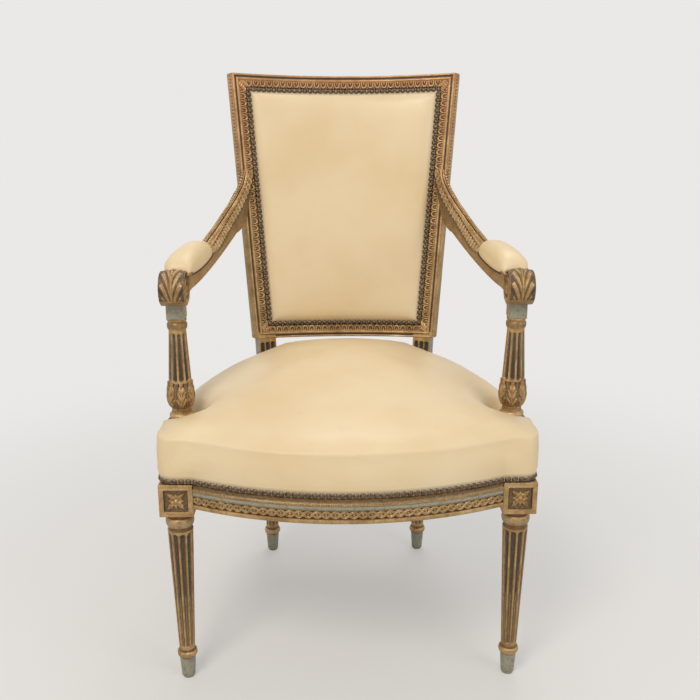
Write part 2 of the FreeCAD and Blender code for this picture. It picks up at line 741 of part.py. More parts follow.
def rear_rail_box():
    """Straight rail between the rear blocks with a strip for the leather behind."""
    x = f"-({REAR_X} - sizes.rear_block_width / 2)"
    length = f"2 * ({REAR_X} - sizes.rear_block_width / 2)"
    plain = box(
        "rear_rail_plain", x, REAR_RAIL_Y, RAIL_LOW, length,
        "sizes.rear_rail_thickness", "sizes.seat_rail_height",
    )
    strip = box(
        "rear_rail_strip", x, f"{REAR_RAIL_Y} + sizes.rear_rail_thickness - sizes.nail_strip_inset",
        STRIP_LOW, length, "sizes.nail_strip_inset", "sizes.nail_strip_height",
    )
    return cut("rear_rail_stepped", plain, [strip])


def stile_prism(name, near, far, front, back, low, high):
    """A straight piece of a stile's line between two distances along its lean."""
    body = doc.addObject("PartDesign::Body", name)
    edges = [(near, front), (far, front), (far, back), (near, back)]
    sections = []
    for end, at in (("low", low), ("high", high)):
        corner = (
            "(sizes.frame_low_half_width + (sizes.frame_top_half_width"
            f" - sizes.frame_low_half_width) * ({at}) / sizes.frame_length)"
        )
        plan = [stile_corner(a, b, corner, "0") for a, b in edges]
        sections.append(outline(body, f"{name}_{end}", "XY_Plane", plan, lift=at))
    doc.recompute()
    loft = body.newObject("PartDesign::AdditiveLoft", f"{name}_loft")
    loft.Profile = sections[0]
    loft.Sections = [sections[1]]
    loft.Ruled = True
    return lean_with_the_back(body)


# Arm and its support


def support():
    """Turned support with a carved bulb, flutes and a square neck."""
    body = doc.addObject("PartDesign::Body", "arm_support_body")
    bind(
        body,
        Placement__Base__x="sizes.support_half_span",
        Placement__Base__y=f"{FRONT_Y} + sizes.support_depth",
    )
    s = "sizes."
    base = s + "support_base_height"
    corners = [
        ("0", s + "seat_rail_top - sizes.dowel_length"),
        (s + "dowel_radius", s + "seat_rail_top - sizes.dowel_length"),
        (s + "dowel_radius", s + "seat_rail_top"),
        (s + "support_shank_radius", s + "seat_rail_top"),
        (s + "support_shank_radius", base + " - 8"),
        (s + "support_base_radius - 3", base + " - 8"),
        (s + "support_base_radius - 3", base + " + 7"),
        (s + "support_base_radius - 5", base + " + 8"),
        (s + "support_base_radius - 5", base + " + 16"),
        (s + "support_waist_radius", base + " + 18"),
        (s + "support_waist_radius", s + "support_bulb_low"),
        (s + "support_shaft_low_radius", s + "support_bulb_top"),
        (s + "support_shaft_top_radius", s + "support_shaft_top"),
        (s + "support_ring_radius - 1.5", s + "support_shaft_top + 3"),
        (s + "support_ring_radius - 1.5", s + "support_neck_low - 4"),
        (s + "support_shaft_top_radius - 1", s + "support_neck_low"),
        (s + "support_shaft_top_radius - 1", s + "arm_seat_height"),
        (s + "dowel_radius", s + "arm_seat_height"),
        (s + "dowel_radius", s + "arm_seat_height + sizes.dowel_length"),
        ("0", s + "arm_seat_height + sizes.dowel_length"),
    ]
    arcs = {5: "9", 7: "5", 10: s + "support_bulb_radius * 1.6", 13: "7"}
    revolve(body, "Turning", outline(body, "turning", "XZ_Plane", corners, arcs))
    neck = square(body, "neck_plan", "sizes.support_neck_width", "sizes.support_neck_low")
    pad(body, "Neck", neck, "sizes.arm_seat_height - sizes.support_neck_low")
    return body


def arm_line(depth):
    """Middle, bottom, top and half width of the arm at a depth behind the front
    leg axes. The top and bottom rise ever faster towards the stile."""
    front = size("arm_front_depth")
    share = (depth - front) / (size("arm_rear_depth") - front)
    rise = max(share, 0)
    middle = blend(size("arm_front_half_span"), size("arm_rear_half_span"), rise)
    top = size("arm_front_top") + size("arm_top_rise") * rise ** 1.75
    bottom = size("arm_front_bottom") + size("arm_bottom_rise") * rise ** 1.5
    slack = max(1 - rise, 0) ** 2
    width = blend(size("arm_rear_width"), size("arm_front_width"), slack)
    return middle, bottom, top, width / 2


def rounded_section(y, middle, low, high, half, rounding):
    """An upright rectangle with rounded corners, square to the chair's length."""
    r = rounding
    skew = r * (1 - math.sqrt(0.5))
    left = middle - half
    right = middle + half

    def at(x, z):
        return FreeCAD.Vector(x, y, z)

    return wire_through([
        (at(left + r, low), None),
        (at(right - r, low), at(right - skew, low + skew)),
        (at(right, low + r), None),
        (at(right, high - r), at(right - skew, high - skew)),
        (at(right - r, high), None),
        (at(left + r, high), at(left + skew, high - skew)),
        (at(left, high - r), None),
        (at(left, low + r), at(left + skew, low + skew)),
    ])


def arm_solid():
    """The swept arm with its scroll and the flat seat for the support."""
    setback = size("front_leg_setback")
    start = size("scroll_depth")
    end = size("arm_rear_depth") + size("arm_run_on")
    sections = []
    steps = 9
    for i in range(steps):
        depth = blend(start, end, i / (steps - 1))
        middle, low, high, half = arm_line(depth)
        sections.append(
            rounded_section(depth - setback, middle, low, high, half, size("arm_rounding"))
        )
    sweep = loft(sections)
    middle, low, high, half = arm_line(start)
    axis_y = start - setback
    scroll = Part.makeCylinder(
        size("scroll_radius"), 2 * half,
        FreeCAD.Vector(middle - half, axis_y, size("scroll_height")), vec(1, 0, 0),
    )
    neck = size("support_neck_width") + 6
    seat = Part.makeBox(
        neck, neck, size("scroll_height") - size("arm_seat_height"),
        FreeCAD.Vector(
            size("support_half_span") - neck / 2,
            size("support_depth") - setback - neck / 2,
            size("arm_seat_height"),
        ),
    )
    return sweep.fuse([scroll, seat]).removeSplitter()


def pad_solid(grow, height=None, lift=0.0):
    """A stuffed arm pad: flat below, upright edges, an arched top, and ends that
    round off. grow moves the sides and the top outwards."""
    setback = size("front_leg_setback")
    first = size("pad_front_depth") - grow
    length = size("pad_length") + 2 * grow
    sections = []
    for share in (0, 0.03, 0.09, 0.2, 0.35, 0.5, 0.65, 0.8, 0.91, 0.97, 1):
        depth = first + length * share
        off = abs(2 * share - 1)
        rounding = 0.35 + 0.65 * math.sqrt(max(1 - off ** 4, 0))
        narrowing = 0.62 + 0.38 * math.sqrt(max(1 - off ** 6, 0))
        middle, low, top, half = arm_line(depth)
        base = top + size("soft_gap") + lift
        reach = (half + size("pad_overhang")) * narrowing + grow
        edge = base + size("pad_edge") * rounding + grow / 2
        crown = base + size("pad_crown") * rounding + grow
        y = depth - setback
        if height:
            edge = base + height
            crown = base + height + 0.4
        sections.append(wire_through([
            (FreeCAD.Vector(middle - reach, y, base), None),
            (FreeCAD.Vector(middle + reach, y, base), None),
            (FreeCAD.Vector(middle + reach, y, edge), FreeCAD.Vector(middle, y, crown)),
            (FreeCAD.Vector(middle - reach, y, edge), None),
        ]))
    return loft(sections, True)


# Seat upholstery


def seat_plan(z, grow, scale=1.0):
    """The seat in plan: bowed in front, square over the blocks, bowed sides that
    draw in to the rear blocks. grow moves it outwards, scale shrinks it."""
    block = size("front_block_width")
    side = size("front_leg_span") / 2 + block / 2 + grow
    front = -size("front_leg_setback") - block / 2 - grow
    rear_axis = size("leg_base_depth") - size("front_leg_setback")
    bow = size("front_leg_span") / 2 - block / 2
    corner = size("seat_corner")
    skew = corner * (1 - math.sqrt(0.5))
    side_end = rear_axis - size("rear_block_width") / 2 - 8
    side_start = block / 2 - size("front_leg_setback") + 4
    side_mid = (side_start + side_end) / 2
    rear = rear_axis + size("rear_block_width") / 2 - 2 + grow
    rear_x = size("rear_leg_span") / 2 + size("rear_block_width") / 2 - 2 + grow
    half = [
        (vec(bow, front), None),
        (vec(side - corner, front), vec(side - skew, front + skew)),
        (vec(side, front + corner), None),
        (vec(side, side_start - 4), None),
        (
            vec(side_face_x(side_start, -grow), side_start),
            vec(side_face_x(side_mid, -grow), side_mid),
        ),
        (vec(side_face_x(side_end, -grow), side_end), None),
        (vec(rear_x, side_end + 28), None),
        (vec(rear_x, rear), None),
    ]
    other = []
    for i in range(len(half) - 1, -1, -1):
        via = half[i - 1][1] if i else vec(0, front_face_y(0) - grow)
        other.append((half[i][0], via))
    middle = (front + rear) / 2

    def place(point, flip=1):
        return FreeCAD.Vector(flip * point.x * scale, middle + (point.y - middle) * scale, z)

    stops = [(place(p), via and place(via)) for p, via in half]
    stops += [(place(p, -1), via and place(via, -1)) for p, via in other]
    return wire_through(stops)


def seat_solid(inset, low):
    """The crowned seat, drawn in towards the rails; inset makes an inner layer."""
    edge = size("seat_edge_height") - inset
    top = rail_top
    bulge = size("seat_bulge")
    strip = size("nail_strip_inset") - size("leather_thickness") - size("soft_gap")
    levels = []
    if low < top - 1:
        levels.append((low, -strip, 1))
    levels.append((max(low, top), -strip, 1))
    for share, out in ((0.3, 0.6), (0.62, 1), (0.86, 0.85), (1, 0.3)):
        levels.append((blend(top, edge, share), blend(-strip, bulge, out), 1))
    for scale in (0.985, 0.95, 0.86, 0.7, 0.5, 0.3, 0.12):
        rise = (1 - scale ** 2.4) ** 0.8
        levels.append((edge + size("seat_crown") * rise, blend(-strip, bulge, 0.3), scale))
    rings = [seat_plan(z, out - inset, scale) for z, out, scale in levels if z >= low]
    return loft(rings, True)


def slab(plan, thickness):
    return Part.Face(plan).extrude(FreeCAD.Vector(0, 0, thickness))


def web_solids(level):
    """Seat webs laid over the rails: long ones first, cross ones on top."""
    width = size("web_width")
    thick = size("web_thickness")
    landing = size("web_landing")
    rear_axis = size("leg_base_depth") - size("front_leg_setback")
    rear = rear_axis + size("rear_block_width") / 2 - 2 - landing
    long_webs = []
    for i in (-2, -1, 0, 1, 2):
        x = i * size("seat_web_pitch")
        outer = abs(x) + width / 2
        front = front_face_y(outer, landing)
        end = min(rear, side_end_y(outer + landing))
        start = FreeCAD.Vector(x - width / 2, front, level)
        long_webs.append(Part.makeBox(width, end - front, thick, start))
    cross_webs = []
    for i in (-2, -1, 0, 1):
        y = (i + 0.5) * size("seat_cross_pitch") - size("web_width")
        reach = min(side_face_x(y - width / 2, landing), side_face_x(y + width / 2, landing))
        start = FreeCAD.Vector(-reach, y - width / 2, level + thick)
        cross_webs.append(Part.makeBox(2 * reach, width, thick, start))
    return long_webs, cross_webs


def side_end_y(x):
    """Where the side rail's outer face passes a distance from the middle."""
    radius = side_radius + size("side_rail_thickness") / 2
    across = x - side_axis.x
    if across >= radius:
        return side_axis.y
    return side_axis.y + math.sqrt(radius * radius - across * across)


# Back upholstery, in the back's own leaning frame


turn = math.radians(size("frame_turn"))
frame_length = size("frame_length")
half_frame = size("frame_width") / 2
face_shift = half_frame * math.sin(turn)


def frame_corner(along):
    """Distance of the frame's outer front corner from the middle."""
    share = along / frame_length
    return blend(size("frame_low_half_width"), size("frame_top_half_width"), share)


def frame_radius(along):
    """Radius of the hollow back at a height; both stiles touch it squarely."""
    return (frame_corner(along) - half_frame * math.cos(turn)) / math.sin(turn)


def back_point(x, along, back, lift=0.0):
    """A point of the hollow back: x from the middle, along the lean, behind the
    face. lift brings it forward from there."""
    radius = frame_radius(along) + back
    axis = face_shift - frame_radius(along) * math.cos(turn)
    return FreeCAD.Vector(x, axis + math.sqrt(radius * radius - x * x) - lift, along)


def back_reach(along, inset):
    return frame_corner(along) - inset * math.cos(turn)


def back_sheet(levels, left, right, near, far):
    """A sheet of the hollow back between two depths; left and right give its
    sides at a height."""
    rings = []
    for along in levels:
        a = left(along)
        b = right(along)
        middle = (a + b) / 2
        rings.append(wire_through([
            (back_point(a, along, near), back_point(middle, along, near)),
            (back_point(b, along, near), None),
            (back_point(b, along, far), back_point(middle, along, far)),
            (back_point(a, along, far), None),
        ]))
    return loft(rings, True)


CROWN_STEPS = (
    (0, 0), (0.03, 0.3), (0.08, 0.55), (0.17, 0.8), (0.3, 0.95), (0.5, 1),
    (0.7, 0.95), (0.83, 0.8), (0.92, 0.55), (0.97, 0.3), (1, 0),
)


def back_cushion(inset, near, far, crown):
    """The stuffed back: hollow behind, crowned in front, thin at its edges."""
    rings = []
    for share, swell in CROWN_STEPS:
        along = blend(inset, frame_length - inset, share)
        reach = back_reach(along, inset)
        rings.append(wire_through([
            (back_point(-reach, along, near), back_point(0, along, near, crown * swell)),
            (back_point(reach, along, near), None),
            (back_point(reach, along, far), back_point(0, along, far)),
            (back_point(-reach, along, far), None),
        ]))
    return loft(rings, True)


def leaning(made):
    """Set a shape made in the back's own frame where the back stands."""
    place = FreeCAD.Placement(
        FreeCAD.Vector(0, size("frame_low_depth") - size("front_leg_setback"),
                       size("frame_low_height")),
        FreeCAD.Rotation(vec(-1, 0, 0), size("frame_recline")),
    )
    return made.transformed(place.toMatrix(), True)


# Nails


def nail_and_shank():
    """A domed nail on its axis, the underside of the head at z 0, and the room
    that its shank takes in the wood."""
    radius = size("nail_radius")
    dome = size("nail_dome")
    shank = size("nail_shank_radius")
    depth = size("nail_shank_length")
    side = math.sqrt(0.5)
    ball = (radius * radius + dome * dome) / (2 * dome)
    arc_at = radius * side
    arc_z = dome - ball + math.sqrt(ball * ball - arc_at * arc_at)
    profile = wire_through([
        (FreeCAD.Vector(0, 0, -depth), None),
        (FreeCAD.Vector(shank, 0, -depth), None),
        (FreeCAD.Vector(shank, 0, 0), None),
        (FreeCAD.Vector(radius, 0, 0), FreeCAD.Vector(arc_at, 0, arc_z)),
        (FreeCAD.Vector(0, 0, dome), None),
    ])
    axis = vec(0, 0, 1)
    nail = Part.Face(profile).revolve(vec(0, 0, 0), axis, 360)
    gap = size("joint_gap")
    room = Part.makeCylinder(shank + gap, depth + 3, FreeCAD.Vector(0, 0, -depth - gap), axis)
    return nail, room


def nails_at(places):
    """Nails and the rooms of their shanks, each at a point and looking a way."""
    nail, room = nail_and_shank()
    heads = []
    rooms = []
    for point, way in places:
        turned = FreeCAD.Rotation(vec(0, 0, 1), way)
        matrix = FreeCAD.Placement(point, turned).toMatrix()
        heads.append(nail.transformed(matrix))
        rooms.append(room.transformed(matrix))
    return Part.makeCompound(heads), Part.makeCompound(rooms)


def evenly(length, pitch):
    """Distances along a length, a whole number of steps near the pitch."""
    count = max(int(round(length / pitch)), 1)
    return [length * i / count for i in range(count + 1)]


def nails_along(edges, ends):
    """Places along joined edges of the seat's plan, each with the way out; ends
    gives the lengths that stay free at the start and at the finish."""
    lengths = [edge.Length for edge in edges]
    places = []
    for along in evenly(sum(lengths) - sum(ends), size("nail_pitch")):
        left = along + ends[0]
        index = 0
        while left > lengths[index] and index < len(edges) - 1:
            left -= lengths[index]
            index += 1
        edge = edges[index]
        spot = edge.getParameterByLength(min(left, edge.Length))
        if edge.Orientation == "Reversed":
            spot = edge.getParameterByLength(max(edge.Length - left, 0))
        way = edge.tangentAt(spot)
        out = vec(way.y, -way.x)
        point = edge.valueAt(spot)
        if out.x * point.x + out.y * (point.y - 20) < 0:
            out = out * -1
        places.append((point, out))
    return places


def seat_nail_line():
    """The seat's plan at the height of the nails, clear of the leather."""
    out = size("nail_strip_inset") - size("leather_thickness") - 2 * size("soft_gap")
    return seat_plan(size("seat_nail_height"), -out).Edges


def seat_front_nails():
    """Along the bow, then along the front of each front block."""
    line = seat_nail_line()
    places = nails_along([line[-1]], (5.6, 5.6))
    right = nails_along([line[0]], (5.6, 2))
    for point, way in right:
        flipped = FreeCAD.Vector(-point.x, point.y, point.z)
        places += [(point, way), (flipped, vec(-way.x, way.y))]
    return places


def seat_side_nails():
    """Round the corner of a front block and along its side rail."""
    line = seat_nail_line()
    return nails_along(line[1:3], (8, 5.6)) + nails_along([line[4]], (5.6, 8))


def seat_rear_nails():
    z = size("seat_nail_height")
    out = size("nail_strip_inset") - size("leather_thickness") - 2 * size("soft_gap")
    face = size("leg_base_depth") - size("front_leg_setback")
    face += size("rear_block_width") / 2 - 2 - out
    reach = size("rear_leg_span") / 2 - size("rear_block_width") / 2 - 7
    places = []
    for along in evenly(2 * reach, size("nail_pitch")):
        places.append((FreeCAD.Vector(along - reach, face, z), vec(0, 1)))
    return places


def back_nails(inset, back, way):
    """Rows of nails round the back, on its front or rear face: rails, then the
    right-hand stile. way is 1 for the front and -1 for the rear."""
    pitch = size("nail_pitch")
    rails = []
    for along in (inset, frame_length - inset):
        radius = frame_radius(along) + back
        axis = face_shift - frame_radius(along) * math.cos(turn)
        swing = math.asin(back_reach(along, inset) / radius)
        row = []
        for step in evenly(2 * swing * radius, pitch):
            angle = step / radius - swing
            out = vec(math.sin(angle), math.cos(angle))
            place = vec(0, axis) + out * radius
            row.append((FreeCAD.Vector(place.x, place.y, along), out * -way))
        rails.append(row)
    stile = []
    side = vec(math.sin(turn), math.cos(turn))
    face = vec(math.cos(turn), -math.sin(turn))
    for step in evenly(frame_length - 2 * inset, pitch)[1:-1]:
        along = inset + step
        place = vec(frame_corner(along), 0) - face * inset + side * back
        stile.append((FreeCAD.Vector(place.x, place.y, along), side * -way))
    return rails[0], rails[1], stile


# Raw members, before their joints are cut

front_leg_body = front_leg()
rear_leg_body = rear_leg()
stile_body = frame_stile()
front_ring = front_rail_ring()
side_ring = side_rail_ring()
support_body = support()
front_flutes = leg_flutes("front_leg_flutes", FRONT_X, FRONT_Y)
rear_flutes = leg_flutes("rear_leg_flutes", REAR_X, REAR_Y)
support_flutes = flutes(
    "arm_support_flutes", "sizes.support_half_span", f"{FRONT_Y} + sizes.support_depth",
    "sizes.support_bulb_top", "sizes.support_shaft_top", "support_shaft_low_radius",
    "support_shaft_top_radius", "support_flute_low_radius", "support_flute_top_radius",
)
doc.recompute()

FRONT_BLOCK_X = f"({FRONT_X} - sizes.front_block_width / 2)"
FRONT_BLOCK_Y = f"({FRONT_Y} - sizes.front_block_width / 2)"
REAR_BLOCK_X = f"({REAR_X} - sizes.rear_block_width / 2)"
TENON_HALF = "sizes.tenon_thickness / 2"
ROOT = 8

front_block_room = box(
    "front_block_room", FRONT_BLOCK_X, FRONT_BLOCK_Y, BLOCK_LOW,
    "sizes.front_block_width", "sizes.front_block_width", "sizes.block_height",
)
rear_block_room = box(
    "rear_block_room", REAR_BLOCK_X, f"{REAR_Y} - sizes.rear_block_width / 2", BLOCK_LOW,
    "sizes.rear_block_width", "sizes.rear_block_width", "sizes.block_height",
)

# Nails first, because the wood and the leather are bored for their shanks

front_nails, front_nail_rooms = nails_at(seat_front_nails())
side_nails, side_nail_rooms = nails_at(seat_side_nails())
rear_nails, rear_nail_rooms = nails_at(seat_rear_nails())
leather = size("leather_thickness")
soft_gap = size("soft_gap")
web_level = size("rabbet_sink") - soft_gap - size("web_thickness")
cross_level = web_level - soft_gap - size("web_thickness")
hessian_level = cross_level - soft_gap - size("hessian_thickness")
flange_level = hessian_level - soft_gap - leather
outside_level = size("frame_depth") + 2 * soft_gap
low_row, top_row, stile_row = back_nails(size("back_nail_inset"), flange_level - soft_gap, 1)
outside_rows = back_nails(
    size("outside_cover_inset") + 8, outside_level + leather + soft_gap, -1
)


def back_nail_node(name, row):
    """Nails of a row of the back and the rooms of their shanks."""
    heads, rooms = nails_at(row)
    return shape(name, leaning(heads)), shape(f"{name}_rooms", leaning(rooms))


seat_nails_front = shape("seat_nails_front", front_nails)
seat_nails_right = shape("seat_nails_right", side_nails)
seat_nails_left = mirror("seat_nails_left", seat_nails_right)
seat_nails_rear = shape("seat_nails_rear", rear_nails)
seat_front_bores = shape("seat_front_bores", front_nail_rooms)
seat_right_bores = shape("seat_right_bores", side_nail_rooms)
seat_left_bores = mirror("seat_left_bores", seat_right_bores)
seat_rear_bores = shape("seat_rear_bores", rear_nail_rooms)
back_nails_top, back_top_bores = back_nail_node("back_nails_top", top_row)
back_nails_bottom, back_low_bores = back_nail_node("back_nails_bottom", low_row)
back_nails_right, back_right_bores = back_nail_node("back_nails_right", stile_row)
back_nails_left = mirror("back_nails_left", back_nails_right)
back_left_bores = mirror("back_left_bores", back_right_bores)
outside_top, outside_top_bores = back_nail_node("outside_nails_top", outside_rows[1])
outside_low, outside_low_bores = back_nail_node("outside_nails_low", outside_rows[0])
outside_right, outside_right_bores = back_nail_node("outside_nails_right", outside_rows[2])
outside_left = mirror("outside_nails_left", outside_right)
outside_left_bores = mirror("outside_left_bores", outside_right_bores)
outside_back_nails = group(
    "outside_back_nails", [outside_top, outside_low, outside_right, outside_left]
)


# Screws of the corner blocks, each into a rail's inner face


def screw_set():
    """Two screws for the front right corner block and two for the rear one."""
    length = size("screw_length")
    head = size("screw_head_radius")
    tall = size("screw_head_height")
    z = rail_top - size("corner_block_drop") - size("corner_block_height") / 2
    bow = size("front_leg_span") / 2 - size("front_block_width") / 2
    rear_axis = size("leg_base_depth") - size("front_leg_setback")
    block = size("rear_block_width") / 2
    rear_face = rear_axis + block - 2 - size("rear_rail_thickness")
    x_front = bow - 29
    y_side = -size("front_leg_setback") + size("front_block_width") / 2 + 24
    x_rear = size("rear_leg_span") / 2 - block - 24
    y_rear = rear_axis - block - 9
    seats = (
        (vec(x_front, front_face_y(x_front, size("front_rail_thickness"))), vec(0, -1)),
        (vec(side_face_x(y_side, size("side_rail_thickness")), y_side), vec(1, 0)),
        (vec(x_rear, rear_face), vec(0, 1)),
        (vec(side_face_x(y_rear, size("side_rail_thickness")), y_rear), vec(1, 0)),
    )
    screws = []
    rooms = []
    for seat, way in seats:
        start = FreeCAD.Vector(seat.x, seat.y, z) - way * (length / 2)
        shank = Part.makeCylinder(size("screw_radius"), length, start, way)
        cap = Part.makeCylinder(head, tall, start - way * tall, way)
        screws.append(shank.fuse(cap).removeSplitter())
        gap = size("joint_gap")
        bore = Part.makeCylinder(size("screw_radius") + gap, length + gap, start, way)
        sink = Part.makeCylinder(head + gap, 40, start - way * 40, way)
        rooms.append(bore.fuse(sink))
    return Part.makeCompound(screws), Part.makeCompound(rooms)


screws, screw_rooms = screw_set()
screws_right = shape("corner_screws_right", screws)
screw_rooms_right = shape("corner_screw_bores", screw_rooms)
corner_block_screws = group(
    "corner_block_screws", [screws_right, mirror("corner_screws_left", screws_right)]
)
screw_rooms_left = mirror("corner_screw_bores_left", screw_rooms_right)

# Glides


def glide(name, x, y):
    """A steel disc with a pin that is driven into the foot."""
    disc = doc.addObject("Part::Cylinder", f"{name}_disc")
    bind(disc, Radius="sizes.glide_radius", Height="sizes.glide_height",
         Placement__Base__x=x, Placement__Base__y=y)
    pin = doc.addObject("Part::Cylinder", f"{name}_pin")
    bind(pin, Radius="sizes.glide_pin_radius", Height="sizes.glide_pin_length",
         Placement__Base__x=x, Placement__Base__y=y)
    bore = doc.addObject("Part::Cylinder", f"{name}_bore")
    bind(bore, Radius="sizes.glide_pin_radius + sizes.joint_gap",
         Height="sizes.glide_pin_length + 1", Placement__Base__x=x, Placement__Base__y=y)
    return fuse(name, [disc, pin]), bore


front_glide, front_glide_bore = glide("front_glide", FRONT_X, FRONT_Y)
rear_glide, rear_glide_bore = glide("rear_glide", REAR_X, REAR_Y)
leg_glides = group("leg_glides", [
    front_glide, rear_glide,
    mirror("front_glide_left", front_glide), mirror("rear_glide_left", rear_glide),
])

# Seat frame

FRONT_TENON_Y = f"({FRONT_BLOCK_Y} + sizes.tenon_offset - {TENON_HALF})"
SIDE_TENON_X = f"({FRONT_X} + sizes.front_block_width / 2 - sizes.tenon_offset - {TENON_HALF})"
SIDE_REAR_TENON_X = f"({REAR_X} - {TENON_HALF})"
REAR_TENON_Y = f"({REAR_RAIL_Y} + sizes.rear_rail_thickness / 2 - {TENON_HALF})"
DEEP = "sizes.tenon_length"
THICK = "sizes.tenon_thickness"

front_tenon = tenon(
    "front_tenon", f"{FRONT_BLOCK_X} - {ROOT}", FRONT_TENON_Y, f"{DEEP} + {ROOT}", THICK
)
front_mortise = mortise("front_mortise", FRONT_BLOCK_X, FRONT_TENON_Y, DEEP, THICK)
side_tenon = tenon(
    "side_tenon", SIDE_TENON_X, f"{SIDE_Y1} - {DEEP}", THICK, f"{DEEP} + {ROOT}"
)
side_mortise = mortise("side_mortise", SIDE_TENON_X, f"{SIDE_Y1} - {DEEP}", THICK, DEEP)
side_rear_tenon = tenon(
    "side_rear_tenon", SIDE_REAR_TENON_X, f"{SIDE_Y2} - {ROOT}", THICK, f"{DEEP} + {ROOT}"
)
side_rear_mortise = mortise("side_rear_mortise", SIDE_REAR_TENON_X, SIDE_Y2, THICK, DEEP)
rear_tenon = tenon(
    "rear_tenon", f"{REAR_BLOCK_X} - {ROOT}", REAR_TENON_Y, f"{DEEP} + {ROOT}", THICK
)
rear_mortise = mortise("rear_mortise", REAR_BLOCK_X, REAR_TENON_Y, DEEP, THICK)

front_leg_right = cut(
    "front_leg_right", front_leg_body,
    [
        front_flutes, front_mortise, side_mortise, front_glide_bore, seat_front_bores,
        seat_right_bores,
    ],
)
front_leg_left = mirror("front_leg_left", front_leg_right)

front_rail_plain = cut(
    "front_rail_plain", front_ring,
    [front_block_room, mirror("front_block_room_left", front_block_room)],
)
front_rail_whole = fuse(
    "front_rail_whole", [front_rail_plain, front_tenon, mirror("front_tenon_left", front_tenon)]
)
front_rail = cut(
    "front_rail", front_rail_whole, [seat_front_bores, screw_rooms_right, screw_rooms_left]
)

support_bore = doc.addObject("Part::Cylinder", "support_bore")
bind(
    support_bore,
    Radius="sizes.dowel_radius + sizes.joint_gap",
    Height="sizes.dowel_length + 1",
    Placement__Base__x="sizes.support_half_span",
    Placement__Base__y=f"{FRONT_Y} + sizes.support_depth",
    Placement__Base__z="sizes.seat_rail_top - sizes.dowel_length - 0.5",
)
side_rail_plain = cut("side_rail_plain", side_ring, [front_block_room, rear_block_room])
side_rail_whole = fuse("side_rail_whole", [side_rail_plain, side_tenon, side_rear_tenon])
side_rail_right = cut(
    "side_rail_right", side_rail_whole, [support_bore, seat_right_bores, screw_rooms_right]
)
side_rail_left = mirror("side_rail_left", side_rail_right)

rear_rail_whole = fuse(
    "rear_rail_whole", [rear_rail_box(), rear_tenon, mirror("rear_tenon_left", rear_tenon)]
)
rear_rail = cut(
    "rear_rail", rear_rail_whole, [seat_rear_bores, screw_rooms_right, screw_rooms_left]
)


def corner_prism(name, corners):
    """A three-cornered block, its far sides inside the rails that trim it."""
    body = doc.addObject("PartDesign::Body", name)
    plan = outline(
        body, f"{name}_plan", "XY_Plane", corners,
        lift="sizes.seat_rail_top - sizes.corner_block_drop - sizes.corner_block_height",
    )
    pad(body, f"{name}_block", plan, "sizes.corner_block_height")
    return body


def side_middle_x(y):
    """The middle of the side rail's thickness at a depth, as a formula."""
    return f"({SIDE_AXIS_X} + sqrt({SIDE_RADIUS}^2 - ({y} - {SIDE_AXIS_Y})^2))"


NEAR_X = f"({BOW_HALF} - 80)"
NEAR_Y = (
    f"({BOW_AXIS_Y} - sqrt(({BOW_RADIUS} - sizes.front_rail_thickness / 2)^2 - {NEAR_X}^2))"
)
SIDE_FRONT_Y = f"({SIDE_Y1} + 75)"
SIDE_REAR_Y = f"({SIDE_Y2} - 50)"
front_prism = corner_prism("front_corner_prism", [
    (NEAR_X, NEAR_Y),
    (f"{FRONT_X} - 9", f"{FRONT_Y} + 6"),
    (side_middle_x(SIDE_FRONT_Y), SIDE_FRONT_Y),
])
rear_prism = corner_prism("rear_corner_prism", [
    (f"{REAR_BLOCK_X} - 75", f"{REAR_RAIL_Y} + sizes.rear_rail_thickness / 2"),
    (side_middle_x(SIDE_REAR_Y), SIDE_REAR_Y),
    (f"{REAR_X} - 12", f"{REAR_Y} + 5"),
])
front_corner = cut(
    "front_corner_right", front_prism, [front_ring, side_ring, front_block_room, screw_rooms_right]
)
rear_room = box(
    "rear_rail_room", f"-{REAR_X}", REAR_RAIL_Y, RAIL_LOW, f"2 * {REAR_X}",
    "sizes.rear_rail_thickness", "sizes.seat_rail_height",
)
rear_corner = cut(
    "rear_corner_right", rear_prism, [side_ring, rear_room, rear_block_room, screw_rooms_right]
)
corner_blocks = group("corner_blocks", [
    front_corner, rear_corner,
    mirror("front_corner_left", front_corner), mirror("rear_corner_left", rear_corner),
])

# Back frame

RABBET_MIDDLE = "(sizes.frame_moulding + sizes.frame_width) / 2"
HALF_WIDTH_AT = (
    "(sizes.frame_low_half_width + (sizes.frame_top_half_width"
    " - sizes.frame_low_half_width) * ({}) / sizes.frame_length)"
)
LOW_RAIL = HALF_WIDTH_AT.format(RABBET_MIDDLE)
TOP_RAIL = HALF_WIDTH_AT.format(f"sizes.frame_length - {RABBET_MIDDLE}")
TOP_RAIL_LOW = "(sizes.frame_length - sizes.frame_width)"

stile_room = stile_prism(
    "stile_room", "-8", "sizes.frame_width", "-8", "sizes.frame_depth + 8",
    "-10", "sizes.frame_length + 10",
)
stile_room_left = mirror("stile_room_left", stile_room)
rabbet_room = stile_prism(
    "rabbet_room", "sizes.frame_moulding", "sizes.frame_width + 3", "-3", "sizes.rabbet_sink",
    "sizes.frame_moulding", "sizes.frame_length - sizes.frame_moulding",
)


def back_rail(name, half_width, low, upside_down, bores):
    """A rail between the stiles with a tenon ring through it, and the room
    that its tenons need in the stiles."""
    ring = frame_rail(f"{name}_raw", half_width, low, upside_down)
    inside = frame_rail(f"{name}_tenons", half_width, low, upside_down, True)
    room = frame_rail(f"{name}_mortise", half_width, low, upside_down, True, "sizes.joint_gap")
    doc.recompute()
    between = cut(f"{name}_between", ring, [stile_room, stile_room_left])
    whole = fuse(f"{name}_whole", [between, inside])
    return cut(name, whole, bores), room


